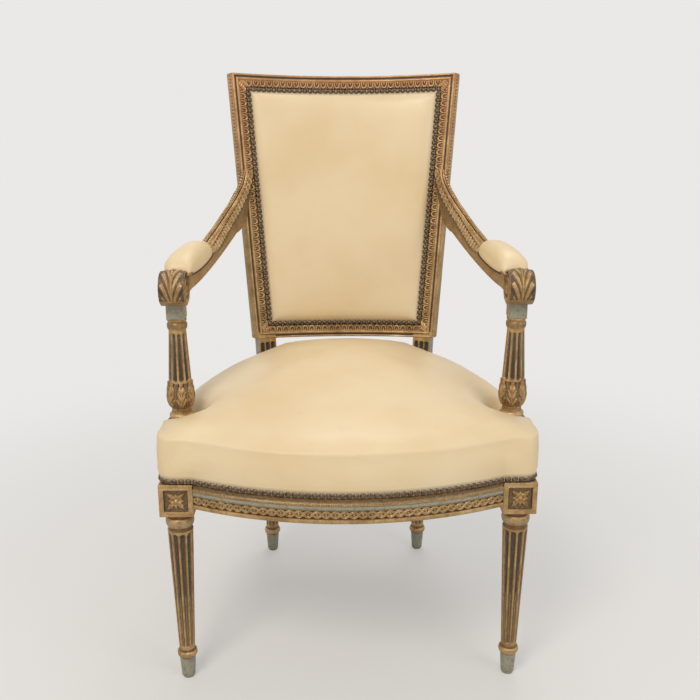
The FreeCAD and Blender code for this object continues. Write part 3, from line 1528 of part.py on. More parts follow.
back_top_rail, top_mortise = back_rail(
    "back_top_rail", TOP_RAIL, TOP_RAIL_LOW, True, [back_top_bores, outside_top_bores]
)
back_bottom_rail, low_mortise = back_rail(
    "back_bottom_rail", LOW_RAIL, "0", False, [back_low_bores, outside_low_bores]
)

arm_bores = []
arm_dowels = []
for number in (0, 1):
    for kind, grow, held in (("dowel", "0", arm_dowels), ("bore", "sizes.joint_gap", arm_bores)):
        pin = doc.addObject("Part::Cylinder", f"arm_{kind}_{number + 1}")
        pin.Placement = FreeCAD.Placement(vec(0, 0), FreeCAD.Rotation(vec(0, 1, 0), 90))
        bind(
            pin,
            Radius=f"sizes.arm_dowel_radius + {grow}",
            Height=f"sizes.arm_dowel_length + 2 * {grow}",
            Placement__Base__x=f"sizes.arm_dowel_start - {grow}",
            Placement__Base__y=f"{FRONT_Y} + sizes.arm_dowel_depth",
            Placement__Base__z=f"sizes.arm_dowel_low + {number} * sizes.arm_dowel_pitch",
        )
        held.append(pin)

stile_rabbeted = cut("stile_rabbeted", stile_body, [rabbet_room])
rear_leg_whole = fuse("rear_leg_whole", [rear_leg_body, stile_rabbeted])
rear_leg_right = cut("rear_leg_right", rear_leg_whole, [
    rear_flutes, side_rear_mortise, rear_mortise, rear_glide_bore, top_mortise, low_mortise,
    back_right_bores, outside_right_bores, *arm_bores,
])
rear_leg_left = mirror("rear_leg_left", rear_leg_right)

# Arms

neck_room = box(
    "neck_room",
    "sizes.support_half_span - sizes.support_neck_width / 2 - sizes.soft_gap",
    f"{FRONT_Y} + sizes.support_depth - sizes.support_neck_width / 2 - sizes.soft_gap",
    "sizes.support_neck_low",
    "sizes.support_neck_width + 2 * sizes.soft_gap",
    "sizes.support_neck_width + 2 * sizes.soft_gap",
    "sizes.arm_seat_height - sizes.support_neck_low",
)
arm_bore = doc.addObject("Part::Cylinder", "arm_bore")
bind(
    arm_bore,
    Radius="sizes.dowel_radius + sizes.joint_gap",
    Height="sizes.dowel_length + 1",
    Placement__Base__x="sizes.support_half_span",
    Placement__Base__y=f"{FRONT_Y} + sizes.support_depth",
    Placement__Base__z="sizes.arm_seat_height - 0.5",
)
arm_raw = shape("arm_raw", arm_solid())
arm_right = cut("arm_right", arm_raw, [stile_body, neck_room, arm_bore, *arm_bores])
arm_left = mirror("arm_left", arm_right)
arm_support_right = cut("arm_support_right", support_body, [support_flutes])
arm_support_left = mirror("arm_support_left", arm_support_right)
arm_pegs = group("arm_dowels", arm_dowels + [mirror(f"{d.Name}_left", d) for d in arm_dowels])

cover_outside = pad_solid(0)
stuffing_room = pad_solid(-leather)
pad_cover_right = shape("arm_pad_cover_right", cover_outside.cut(stuffing_room))
pad_stuffing_right = shape("arm_pad_stuffing_right", pad_solid(-leather - soft_gap))
welt = pad_solid(size("welt_width"), size("welt_height")).cut(pad_solid(soft_gap, 30))
pad_welt_right = shape("arm_pad_welt_right", welt)
pad_cover_left = mirror("arm_pad_cover_left", pad_cover_right)
pad_stuffing_left = mirror("arm_pad_stuffing_left", pad_stuffing_right)
pad_welt_left = mirror("arm_pad_welt_left", pad_welt_right)

# Seat upholstery

long_webs, cross_webs = web_solids(rail_top)
seat_webbing_long = shape("seat_webbing_long", Part.makeCompound(long_webs))
seat_webbing_cross = shape("seat_webbing_cross", Part.makeCompound(cross_webs))
hessian_height = rail_top + 2 * size("web_thickness")
pad_height = hessian_height + size("hessian_thickness") + soft_gap


def support_room(gap):
    """Room round the shank and the base of the right arm support."""
    x = size("support_half_span")
    y = size("support_depth") - size("front_leg_setback")
    base = size("support_base_height") - 8 - gap
    shank = Part.makeCylinder(
        size("support_shank_radius") + gap, 300, FreeCAD.Vector(x, y, rail_top - 30)
    )
    round_base = Part.makeCylinder(
        size("support_base_radius") + gap + 1.2, 200, FreeCAD.Vector(x, y, base)
    )
    return shank.fuse(round_base)


def stile_foot_room(gap):
    """Room round the right stile where it passes the upholstery, and round the
    block under it."""
    inset = size("stile_inset")
    edges = ((0, 0), (1, 0), (1, 1), (0, 1))
    low = []
    high = []
    for across, back in edges:
        a = inset + (size("stile_width") + gap if across == 1 else -14)
        b = 1 + (size("stile_depth") + gap if back == 1 else -gap)
        if (across, back) == edges[3]:
            b += 20
        middle = inset + size("stile_width") / 2
        deep = 1 + size("stile_depth") / 2
        foot = vec(size("rear_leg_span") / 2, 0) + vec(
            middle * math.cos(turn) - deep * math.sin(turn),
            size("leg_base_depth") - size("front_leg_setback") + 3
            - middle * math.sin(turn) - deep * math.cos(turn),
        )
        head = vec(
            frame_corner(12),
            size("frame_low_depth") - size("front_leg_setback")
            + 12 * math.tan(math.radians(size("frame_recline"))),
        )
        step = vec(
            -a * math.cos(turn) + b * math.sin(turn), a * math.sin(turn) + b * math.cos(turn)
        )
        low.append((FreeCAD.Vector(foot.x + step.x, foot.y + step.y, rail_top - 4), None))
        high.append((
            FreeCAD.Vector(head.x + step.x, head.y + step.y, size("frame_low_height") + 12), None
        ))
    stile = loft([wire_through(low), wire_through(high)], True)
    block = size("rear_block_width") + 2 * gap
    rear = size("leg_base_depth") - size("front_leg_setback")
    corner = FreeCAD.Vector(
        size("rear_leg_span") / 2 - block / 2, rear - block / 2, rail_top - 60
    )
    return stile.fuse(Part.makeBox(block + 12, block, 60 + gap, corner))


def both_sides(made):
    """A shape and its mirror image."""
    return [made, made.mirror(vec(0, 0, 0), vec(1, 0, 0))]


notches = both_sides(support_room(size("notch_gap"))) + both_sides(
    stile_foot_room(size("notch_gap"))
)
seat_low = rail_top - size("nail_strip_height")
cover_body = seat_solid(0, seat_low).cut(seat_solid(leather, seat_low - 1))
seat_cover_plain = shape("seat_cover_plain", cover_body.cut(notches))
seat_cover = cut(
    "seat_cover", seat_cover_plain,
    [seat_front_bores, seat_right_bores, seat_left_bores, seat_rear_bores],
)
inner_seat = seat_solid(leather + soft_gap, pad_height)
seat_stuffing = shape("seat_stuffing", inner_seat.cut(notches))
hessian_plan = slab(seat_plan(hessian_height, -size("web_landing") + 3), size("hessian_thickness"))
seat_hessian = shape("seat_hessian", hessian_plan.cut(notches))

# Back upholstery

front_inset = size("back_cover_inset")
pad_inset = size("back_pad_inset")
rear_inset = size("outside_cover_inset")


def front_leather():
    """Front leather of the back: a flat edge under the nails round a crown."""
    crown = size("back_crown")
    levels = [blend(front_inset, frame_length - front_inset, share) for share in (0, 0.5, 1)]
    edge = back_sheet(
        levels, lambda w: -back_reach(w, front_inset), lambda w: back_reach(w, front_inset),
        flange_level, flange_level + leather,
    )
    root = leather * 0.3
    swell = back_cushion(
        pad_inset - leather, flange_level + root, flange_level + leather - root, crown + root
    )
    hollow = back_cushion(
        pad_inset, flange_level + leather - root, flange_level + leather + 3, crown - root
    )
    return edge.fuse(swell).cut(hollow)


def back_web_sheets():
    """Upright webs on the rabbet, and cross webs woven in front of them."""
    count = int(size("back_web_count"))
    half = size("web_width") / 2
    inset = front_inset + size("back_web_margin")
    thick = size("web_thickness")
    length = frame_length - 2 * inset
    middle = frame_length / 2
    upright = []
    across = []
    for i in range(count):
        step = i - (count - 1) / 2
        x = step * size("back_web_spacing")
        ends = [inset, middle, frame_length - inset]
        upright.append(back_sheet(
            ends, lambda w, x=x: x - half, lambda w, x=x: x + half, web_level, web_level + thick
        ))
        centre = middle + step * length / count
        across.append(back_sheet(
            [centre - half, centre + half], lambda w: -back_reach(w, inset),
            lambda w: back_reach(w, inset), cross_level, cross_level + thick,
        ))
    return upright, across


upright_webs, cross_back_webs = back_web_sheets()
back_webbing_upright = shape(
    "back_webbing_upright", leaning(Part.makeCompound(upright_webs))
)
back_webbing_cross = shape(
    "back_webbing_cross", leaning(Part.makeCompound(cross_back_webs))
)
hessian_inset = front_inset + size("back_web_margin")
hessian_ends = [hessian_inset, frame_length / 2, frame_length - hessian_inset]
back_hessian = shape("back_hessian", leaning(back_sheet(
    hessian_ends, lambda w: -back_reach(w, hessian_inset), lambda w: back_reach(w, hessian_inset),
    hessian_level, hessian_level + size("hessian_thickness"),
)))
back_cover_plain = shape("back_cover_plain", leaning(front_leather()))
back_cover = cut(
    "back_cover", back_cover_plain,
    [back_top_bores, back_low_bores, back_left_bores, back_right_bores],
)
stuffing_far = hessian_level - soft_gap
back_stuffing = shape("back_stuffing", leaning(back_cushion(
    pad_inset + 5, stuffing_far - 0.2, stuffing_far, size("back_crown") - 1
)))
rear_ends = [rear_inset, frame_length / 2, frame_length - rear_inset]
outside_plain = shape("outside_back_cover_plain", leaning(back_sheet(
    rear_ends, lambda w: -back_reach(w, rear_inset), lambda w: back_reach(w, rear_inset),
    outside_level, outside_level + leather,
)))
outside_back_cover = cut(
    "outside_back_cover", outside_plain,
    [outside_top_bores, outside_low_bores, outside_left_bores, outside_right_bores],
)

doc.recompute()

PIECES = [
    front_leg_left, front_leg_right, rear_leg_left, rear_leg_right,
    front_rail, side_rail_left, side_rail_right, rear_rail,
    back_top_rail, back_bottom_rail, arm_left, arm_right,
    arm_support_left, arm_support_right, arm_pegs, corner_blocks, corner_block_screws,
    leg_glides, seat_webbing_long, seat_webbing_cross, seat_hessian, seat_stuffing,
    seat_cover, back_webbing_upright, back_webbing_cross, back_hessian, back_stuffing,
    back_cover, outside_back_cover, pad_stuffing_left, pad_stuffing_right,
    pad_cover_left, pad_cover_right, pad_welt_left, pad_welt_right,
    seat_nails_front, seat_nails_left, seat_nails_right, seat_nails_rear,
    back_nails_top, back_nails_bottom, back_nails_left, back_nails_right,
    outside_back_nails,
]

for item in doc.Objects:
    if "Invalid" in item.State or "Error" in item.State:
        raise ValueError(f"{item.Name} is in state {item.State}")
for piece in PIECES:
    if piece.Shape.isNull() or not piece.Shape.isValid():
        raise ValueError(f"{piece.Name} has no valid shape")
for piece in PIECES:
    piece.Shape.exportStep(f"parts/{piece.Name}.step")
    print(piece.Name, len(piece.Shape.Solids), round(piece.Shape.Volume / 1000, 1))
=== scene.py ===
import math

import bpy
import numpy as np
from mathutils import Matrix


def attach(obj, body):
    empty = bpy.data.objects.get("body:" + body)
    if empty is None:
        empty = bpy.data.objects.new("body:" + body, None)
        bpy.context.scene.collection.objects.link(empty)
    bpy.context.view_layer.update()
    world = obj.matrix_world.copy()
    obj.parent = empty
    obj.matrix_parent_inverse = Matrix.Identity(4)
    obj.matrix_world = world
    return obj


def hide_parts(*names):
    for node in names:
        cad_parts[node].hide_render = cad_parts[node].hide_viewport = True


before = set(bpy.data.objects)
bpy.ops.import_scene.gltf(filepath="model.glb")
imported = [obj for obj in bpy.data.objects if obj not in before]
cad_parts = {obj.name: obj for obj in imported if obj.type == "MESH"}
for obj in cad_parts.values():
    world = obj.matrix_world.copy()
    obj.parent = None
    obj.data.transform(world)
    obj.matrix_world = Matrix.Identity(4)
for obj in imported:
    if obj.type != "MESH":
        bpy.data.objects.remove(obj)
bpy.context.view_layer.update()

# Lengths are in millimetres until a mesh is made. +X is the right-hand side of
# somebody who faces the chair, -Y its front, Z up, as in the frame.
FRONT_Y = -244.7
REAR_Y = 191.3
RAIL_TOP = 375.0
RAIL_LOW = 320.5
BLOCK_LOW = 306.6
BLOCK_TOP = 361.0
LEG_X = 271.0
# The back: its outer corners turn forwards by TURN, and it leans by RECLINE. Its
# frame is FRAME_LENGTH long, half as wide as HALF_FOOT below and HALF_HEAD above,
# FRAME_THICK deep, and its corners end in a straight FLANK.
TURN = math.radians(20)
RECLINE = math.radians(7.64)
TURN_COS, TURN_SIN = math.cos(TURN), math.sin(TURN)
LEAN_COS, LEAN_SIN = math.cos(RECLINE), math.sin(RECLINE)
FRAME_LENGTH = 523.0
FRAME_THICK = 38.0
HALF_FOOT = 177.3
HALF_HEAD = 218.0
FLANK = 20.0
BACK_Y = 433 + FRONT_Y
BACK_Z = 475.0
PEARLS = 6.5


def ease(x, low, high):
    """0 below low, 1 above high, and a smooth step between."""
    t = np.clip((x - low) / (high - low), 0, 1)
    return t * t * (3 - 2 * t)


def ridge(x, half):
    """A half-round ridge: 1 at 0, falling on a circle to 0 at half."""
    return np.sqrt(np.clip(1 - (x / half) ** 2, 0, 1))


def soft_ridge(x, half):
    """A ridge that also runs out smoothly at its foot."""
    return np.clip(1 - (x / half) ** 2, 0, 1) ** 2


def repeat(x, pitch):
    """Distance along a pattern from the nearest motif's middle, in pitches."""
    t = x / pitch
    return t - np.round(t)


def xyz(x, y, z):
    """Points from their coordinates, spread to one shape."""
    return np.stack(np.broadcast_arrays(x, y, z), -1)


def zones(x, start, *rows):
    """Layers of values across a moulding. Each row is (from, to, a value for
    each layer) and lies over the start values where x is between the two."""
    layers = [np.full_like(x, value) for value in start]
    for low, high, *values in rows:
        inside = (x >= low) & (x < high)
        layers = [np.where(inside, new, old) for new, old in zip(values, layers)]
    return layers


def link(name, data):
    """An object in the scene that holds the data."""
    thing = bpy.data.objects.new(name, data)
    bpy.context.scene.collection.objects.link(thing)
    return thing


def steps(*stops):
    """Numbers from stop to stop; each later stop is (end, count)."""
    run = [np.array([float(stops[0])])]
    for end, count in stops[1:]:
        start = run[-1][-1]
        run.append(start + (end - start) * np.arange(1, count + 1) / count)
    return np.concatenate(run)


class Form:
    """Closed grids that become one mesh. Every point carries how gilt it is and
    how deep it lies in the carving, both from 0 to 1; the depth darkens its
    colour with brown patina and with painted shade."""

    def __init__(self):
        self.parts = []
        self.count = 0

    def rings(self, points, gilt=1.0, deep=0.0, cap="fan"):
        """A stack of closed rings, shape (rings, points round, 3). The ends are
        closed with a fan, or with a strip across a thin ring."""
        points = np.asarray(points, float)
        n, m = points.shape[:2]
        index = np.arange(n * m).reshape(n, m)
        after = np.roll(index, -1, axis=1)
        quads = np.stack(
            [index[:-1], after[:-1], after[1:], index[1:]], axis=-1
        ).reshape(-1, 4)
        tris = np.zeros((0, 3), int)
        flat = points.reshape(-1, 3)
        shade = np.stack(
            [np.broadcast_to(gilt, (n, m)).ravel(), np.broadcast_to(deep, (n, m)).ravel()], 1
        ).astype(float)
        if cap == "fan":
            hubs = np.array([points[0].mean(0), points[-1].mean(0)])
            flat = np.concatenate([flat, hubs])
            shade = np.concatenate([shade, shade[[0, (n - 1) * m]]])
            first, last = n * m, n * m + 1
            low = np.stack([after[0], index[0], np.full(m, first)], 1)
            top = np.stack([index[-1], after[-1], np.full(m, last)], 1)
            tris = np.concatenate([low, top])
        elif cap == "strip":
            half = m // 2
            j = np.arange(half - 1)
            for row, flip in ((index[0], True), (index[-1], False)):
                quad = np.stack([row[j], row[j + 1], row[m - 2 - j], row[m - 1 - j]], 1)
                quads = np.concatenate([quads, quad[:, ::-1] if flip else quad])
        self.add(flat, quads, tris, shade)

    def add(self, flat, quads, tris, shade):
        """Any closed mesh; its faces are turned so that they look outwards."""
        fans = np.concatenate([quads[:, [0, 1, 2]], quads[:, [0, 2, 3]], tris])
        a, b, c = (flat[fans[:, i]] for i in range(3))
        if np.einsum("ij,ij->i", a, np.cross(b, c)).sum() < 0:
            quads = quads[:, ::-1]
            tris = tris[:, ::-1]
        self.parts.append((flat, quads + self.count, tris + self.count, shade))
        self.count += len(flat)

    def mirror(self):
        """The same forms again on the other side of the chair."""
        flip = np.array([-1.0, 1.0, 1.0])
        for flat, quads, tris, shade in list(self.parts):
            low = quads.min() if len(quads) else tris.min()
            self.add(flat * flip, quads - low, tris - low, shade)
        return self

    def build(self, name, material, slot, angle=40):
        flat, quads, tris, shade = (
            np.concatenate([part[i] for part in self.parts]) for i in range(4)
        )
        mesh = bpy.data.meshes.new(name)
        mesh.vertices.add(len(flat))
        mesh.vertices.foreach_set("co", (flat / 1000).astype(np.float32).ravel())
        loops = np.concatenate([quads.ravel(), tris.ravel()]).astype(np.int32)
        mesh.loops.add(len(loops))
        mesh.loops.foreach_set("vertex_index", loops)
        starts = np.concatenate(
            [np.arange(len(quads)) * 4, len(quads) * 4 + np.arange(len(tris)) * 3]
        ).astype(np.int32)
        mesh.polygons.add(len(starts))
        mesh.polygons.foreach_set("loop_start", starts)
        mesh.update(calc_edges=True)
        mesh.validate()
        for column, kind in enumerate(("gilt", "deep")):
            layer = mesh.attributes.new(kind, "FLOAT", "POINT")
            layer.data.foreach_set("value", shade[:, column].astype(np.float32))
        mesh.shade_smooth()
        mesh.set_sharp_from_angle(angle=math.radians(angle))
        thing = link(name, mesh)
        mesh.materials.append(material)
        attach(thing, "root")
        return thing


# Materials


def colour(code):
    """A hex colour as it is seen, turned into linear light."""
    parts = [int(code[i : i + 2], 16) / 255 for i in (1, 3, 5)]
    return [c / 12.92 if c <= 0.04045 else ((c + 0.055) / 1.055) ** 2.4 for c in parts] + [1.0]


class Look:
    """A node material, or a world, and short ways to fill it."""

    def __init__(self, name, world=None):
        self.material = world or bpy.data.materials.new(name)
        self.material.use_nodes = True
        self.tree = self.material.node_tree
        self.shader = self.tree.nodes["Background" if world else "Principled BSDF"]

    def node(self, kind, inputs=None, **settings):
        made = self.tree.nodes.new(kind)
        for key, value in settings.items():
            setattr(made, key, value)
        for key, value in (inputs or {}).items():
            self.put(made.inputs[key], value)
        return made

    def put(self, socket, value):
        if isinstance(value, bpy.types.NodeSocket):
            self.tree.links.new(value, socket)
        else:
            socket.default_value = value

    def attribute(self, name):
        return self.node("ShaderNodeAttribute", attribute_name=name).outputs["Fac"]

    def place(self):
        return self.node("ShaderNodeTexCoord").outputs["Object"]

    def noise(self, scale, detail=3.0, rough=0.5, stretch=None):
        at = self.place()
        if stretch:
            at = self.node("ShaderNodeMapping", {"Vector": at, "Scale": stretch}).outputs[0]
        made = self.node(
            "ShaderNodeTexNoise",
            {"Vector": at, "Scale": scale, "Detail": detail, "Roughness": rough},
        )
        return made.outputs["Fac"]

    def ramp(self, factor, *stops):
        """Values between stops, each (position, value)."""
        made = self.node("ShaderNodeValToRGB", {"Fac": factor})
        points = made.color_ramp.elements
        while len(points) < len(stops):
            points.new(0.5)
        for point, (at, value) in zip(points, stops):
            point.position = at
            point.color = [value] * 3 + [1] if isinstance(value, (int, float)) else value
        return made.outputs["Color"]

    def fade(self, value, low, high):
        return self.ramp(value, (low, 0.0), (high, 1.0))

    def mix(self, factor, a, b):
        made = self.node("ShaderNodeMix", data_type="RGBA")
        self.put(made.inputs["Factor"], factor)
        self.put(made.inputs["A"], a)
        self.put(made.inputs["B"], b)
        return made.outputs["Result"]

    def maths(self, how, a, b=0.0, clamp=False):
        made = self.node("ShaderNodeMath", operation=how, use_clamp=clamp)
        self.put(made.inputs[0], a)
        self.put(made.inputs[1], b)
        return made.outputs[0]

    def stain(self, body, mask, share, code):
        """A colour laid over the body where the mask is, at a share of its strength."""
        return self.mix(self.maths("MULTIPLY", mask, share), body, colour(code))

    def bump(self, height, distance, strength=1.0):
        made = self.node(
            "ShaderNodeBump", {"Height": height, "Distance": distance, "Strength": strength}
        )
        return made.outputs["Normal"]

    def finish(self, **inputs):
        for key, value in inputs.items():
            self.put(self.shader.inputs[key.replace("_", " ")], value)
        return self.material

    def veil(self, kind, share):
        """A pale light of its own, shown over the surface to a share."""
        pale = self.node(kind, {"Color": colour("#efeeec"), "Strength": 0.95})
        parts = {0: share, 1: self.shader.outputs[0], 2: pale.outputs[0]}
        blend = self.node("ShaderNodeMixShader", parts)
        end = next(node for node in self.tree.nodes if node.type.startswith("OUTPUT"))
        self.put(end.inputs["Surface"], blend.outputs[0])


def gilded_wood():
    """Carved beech under water gilding and grey-green paint: bright leaf on the
    ridges, dulled to bronze on the flats and rubbed through to red bole, with
    brown patina and painted shade lying in the hollows."""
    look = Look("gilded_wood")
    gilt, deep = look.attribute("gilt"), look.attribute("deep")
    broad = look.noise(30.0, 4.0, 0.65)
    fine = look.noise(420.0, 3.0, 0.65)
    patches = look.noise(130.0, 5.0, 0.75)
    height = look.node("ShaderNodeSeparateXYZ", {"Vector": look.place()}).outputs["Z"]
    leaf = look.mix(look.fade(broad, 0.32, 0.68), colour("#9c7c4e"), colour("#d6b27e"))
    leaf = look.mix(look.ramp(patches, (0.40, 0.42), (0.52, 0.0)), leaf, colour("#7c6040"))
    leaf = look.stain(leaf, look.fade(look.noise(95.0, 5.0, 0.75), 0.56, 0.64), 0.36, "#a5664c")
    leaf = look.stain(leaf, look.fade(height, 0.72, 1.0), 0.34, "#c88762")
    paint = look.mix(broad, colour("#84887a"), colour("#b0ae98"))
    paint = look.stain(paint, look.fade(patches, 0.50, 0.60), 0.6, "#8a6a44")
    body = look.mix(look.fade(gilt, 0.35, 0.65), paint, leaf)
    # The deep attribute darkens the body: brown patina, and painted shade in grooves, flutes and at
    # the feet of rounds.
    patina_and_shade = deep
    for grain, share in ((fine, 0.8), (broad, 0.5)):
        uneven = look.maths("MULTIPLY", look.maths("SUBTRACT", grain, 0.5), share)
        patina_and_shade = look.maths("ADD", patina_and_shade, uneven)
    patina_and_shade = look.fade(patina_and_shade, 0.16, 0.8)
    body = look.stain(body, patina_and_shade, 0.92, "#2f2116")
    body = look.stain(body, look.fade(fine, 0.60, 0.72), 0.4, "#3f2d1e")
    metal = look.ramp(gilt, (0.4, 0.0), (0.7, 0.6))
    metal = look.maths("MULTIPLY", metal, look.maths("SUBTRACT", 1.0, patina_and_shade, True))
    rough = look.ramp(patches, (0.35, 0.30), (0.65, 0.55))
    relief = look.maths("ADD", fine, look.maths("MULTIPLY", patches, 0.8))
    return look.finish(
        Base_Color=body, Metallic=metal, Roughness=rough, Normal=look.bump(relief, 0.0006, 0.6)
    )


def leather():
    """Aged cream upholstery leather: tiny pebbled grain, faint blotches."""
    look = Look("cream_leather")
    blotch = look.fade(look.noise(7.0, 3.0, 0.5), 0.35, 0.65)
    body = look.mix(blotch, colour("#ecd3a6"), colour("#f2ddb6"))
    body = look.stain(body, look.fade(look.noise(24.0, 5.0, 0.7), 0.6, 0.8), 0.14, "#c9ab74")
    # Painted shade: the deep attribute darkens the leather along its nailed, tucked edges.
    body = look.stain(body, look.attribute("deep"), 0.75, "#4d3a26")
    pebbles = look.node(
        "ShaderNodeTexVoronoi", {"Vector": look.place(), "Scale": 900.0}, feature="F1"
    ).outputs["Distance"]
    creases = look.maths("MULTIPLY", look.noise(210.0, 4.0, 0.6), 0.8)
    return look.finish(
        Base_Color=body, Roughness=look.ramp(look.noise(60.0, 3.0), (0.3, 0.36), (0.7, 0.46)),
        Normal=look.bump(look.maths("ADD", pebbles, creases), 0.00018, 0.35),
        Coat_Weight=0.12, Coat_Roughness=0.35,
    )


def antique_brass(name, low, high):
    """Bronzed upholstery nails and cords, darker in patches."""
    look = Look(name)
    patch = look.noise(160.0, 3.0, 0.6)
    body = look.mix(look.fade(patch, 0.35, 0.65), colour(low), colour(high))
    fine = look.noise(900.0, 2.0)
    return look.finish(
        Base_Color=body, Metallic=0.85, Roughness=look.ramp(patch, (0.3, 0.3), (0.7, 0.46)),
        Normal=look.bump(fine, 0.0001, 0.4),
    )


def weave(name, low, high, pitch):
    """Plain woven jute: two crossing waves, over and under."""
    look = Look(name)
    waves = []
    for way in ("X", "Y"):
        waves.append(look.node(
            "ShaderNodeTexWave", {"Vector": look.place(), "Scale": pitch, "Distortion": 0.4},
            wave_type="BANDS", bands_direction=way,
        ).outputs["Fac"])
    both = look.maths("MAXIMUM", waves[0], waves[1])
    tint = look.mix(look.noise(120.0, 4.0), colour(low), colour(high))
    # Painted shade: the low parts between the threads are darkened halfway to dark brown.
    body = look.mix(both, look.mix(0.5, tint, colour("#3d2d1c")), tint)
    return look.finish(Base_Color=body, Roughness=0.9, Normal=look.bump(both, 0.0005, 0.7))


def bare_wood():
    """Unfinished beech: long grain, a little darkened with age."""
    look = Look("aged_beech")
    grain = look.noise(60.0, 5.0, 0.6, (1.0, 8.0, 8.0))
    body = look.mix(grain, colour("#6e5033"), colour("#9a7650"))
    return look.finish(Base_Color=body, Roughness=0.7, Normal=look.bump(grain, 0.0004, 0.5))


def steel():
    """Nickelled steel of the glides and screws, lightly scratched."""
    look = Look("nickelled_steel")
    scratch = look.noise(300.0, 4.0, 0.6, (1.0, 12.0, 1.0))
    return look.finish(
        Base_Color=look.mix(scratch, colour("#8d8a83"), colour("#b9b6ae")), Metallic=1.0,
        Roughness=look.ramp(scratch, (0.3, 0.28), (0.7, 0.42)),
    )


WOOD = gilded_wood()
HIDE = leather()
NAILS = antique_brass("antique_nails", "#57483a", "#7f6f5c")
GIMP = antique_brass("dark_gimp", "#3a2415", "#5d3f27")
JUTE = weave("jute_webbing", "#8f7448", "#b89b69", 260.0)
HESSIAN = weave("hessian", "#9c8252", "#c3a877", 420.0)
BEECH = bare_wood()
STEEL = steel()


def both(name):
    return name + "_left", name + "_right"


def dress(material, *nodes):
    """The plain CAD pieces that are shown as they are get their material."""
    for name in nodes:
        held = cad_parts[name].data.materials
        held.clear()
        held.append(material)


# Turned legs


def lathe(form, heights, radii, axis, relief, around=160):
    """Rings about an upright axis. relief(angle, z, r) gives what is added to
    the radius, and how gilt and how deep each point is."""
    angle = np.linspace(0, 2 * math.pi, around, endpoint=False)
    turn, z = np.meshgrid(angle, heights)
    radius = np.repeat(radii[:, None], around, 1)
    add, shine, dark = relief(turn, z, radius)
    radius = radius + add
    form.rings(
        xyz(axis[0] + radius * np.cos(turn), axis[1] + radius * np.sin(turn), z), shine, dark
    )


def profile(*parts):
    """Heights and radii of a turning, from lists of (height, radius)."""
    return np.concatenate([np.asarray(part, float) for part in parts]).T


def fluting(angle, z, radius, count, low, high, low_r, high_r, lift):
    """Depth of round-ended flutes: a ball runs along each flute, and what it
    takes from the shaft is its own depth at that distance from the line."""
    off = repeat(angle, 2 * math.pi / count) * 2 * math.pi / count * radius
    t = np.clip((z - low) / (high - low), 0, 1)
    ball = low_r + (high_r - low_r) * t
    past = np.maximum(np.maximum(low - z, z - high), 0)
    reach = np.sqrt(off * off + past * past)
    depth = np.sqrt(np.clip(ball * ball - reach * reach, 0, None)) - lift
    return np.clip(depth, 0, None), reach / ball


# Height and radius of the turned leg, below its shaft and above it.
LEG = (
    (3, 9.5), (4, 11), (10, 11.4), (25, 12.4), (38, 13.2), (40, 13.0), (40.6, 13.6),
    (41.5, 15.0), (43.5, 16.2), (46, 16.6), (49, 16.4), (51.5, 15.2), (52.3, 13.6),
    (53, 13.4), (54.6, 13.4), (55, 12.9), (57, 12.9),
)
LEG_HEAD = (
    (272, 20.2), (274.6, 20.5), (275.4, 20.4), (276.4, 18.4), (280.5, 17.9), (281.6, 18.2),
    (282.2, 19.8), (283.2, 21.0), (286, 22.2), (290, 22.8), (294, 22.4), (297.4, 21.0),
    (298.6, 19.6), (299.4, 18.6), (301, 18.3), (303.4, 18.3), (304.2, 19.6), (306, 21.0),
    (306.9, 21.4),
)


def turned_leg(form, axis):
    """Foot, collar, ten flutes on a growing shaft, rings under the block."""
    z_shaft = steps(58, (62, 4), (72, 10), (100, 6), (240, 16), (258, 6), (271, 13))
    r_shaft = 12.8 + (z_shaft - 55) * (20.5 - 12.8) / 221.2
    heights, radii = profile(LEG, np.c_[z_shaft, r_shaft], LEG_HEAD)

    def relief(angle, z, radius):
        depth, reach = fluting(
            angle, z, radius, count=10, low=64, high=267, low_r=3.1, high_r=5.0, lift=0.8
        )
        rod = soft_ridge(reach, 0.42) * ease(z, 62, 66) * (1 - ease(z, 150, 156))
        add = -depth + rod * 1.6 * np.clip(depth, 0, 1)
        shine = np.where(z < 40.3, 0.0, 1.0)
        shine = np.where((z > 55) & (z < 276) & (depth > 1.2), 0.55, shine)
        shine = np.where((z > 287) & (z < 293), 0.35, shine)
        dark = 0.1 + np.clip(depth / 4.2, 0, 0.7) * (1 - rod)
        for low, high in ((39.6, 41.2), (51.8, 55.5), (275.8, 281.8), (298.4, 303.8)):
            dark = np.maximum(dark, np.where((z > low) & (z < high), 0.6, 0))
        dark = np.maximum(dark, 0.35 * (1 - ease(z, 3, 9)))
        return add, shine, dark

    lathe(form, heights, radii, axis, relief)


def weld(grids):
    """One closed mesh from six grids that share their borders."""
    points, shade, quads = [], [], []
    start = 0
    for grid, tone in grids:
        n, m = grid.shape[:2]
        index = np.arange(n * m).reshape(n, m) + start
        quads.append(np.stack(
            [index[:-1, :-1], index[1:, :-1], index[1:, 1:], index[:-1, 1:]], -1
        ).reshape(-1, 4))
        points.append(grid.reshape(-1, 3))
        shade.append(tone.reshape(-1, 2))
        start += n * m
    points, shade, quads = (np.concatenate(x) for x in (points, shade, quads))
    keys = np.round(points * 500).astype(np.int64)
    _, first, back = np.unique(keys, axis=0, return_index=True, return_inverse=True)
    return points[first], back.reshape(-1)[quads], shade[first]


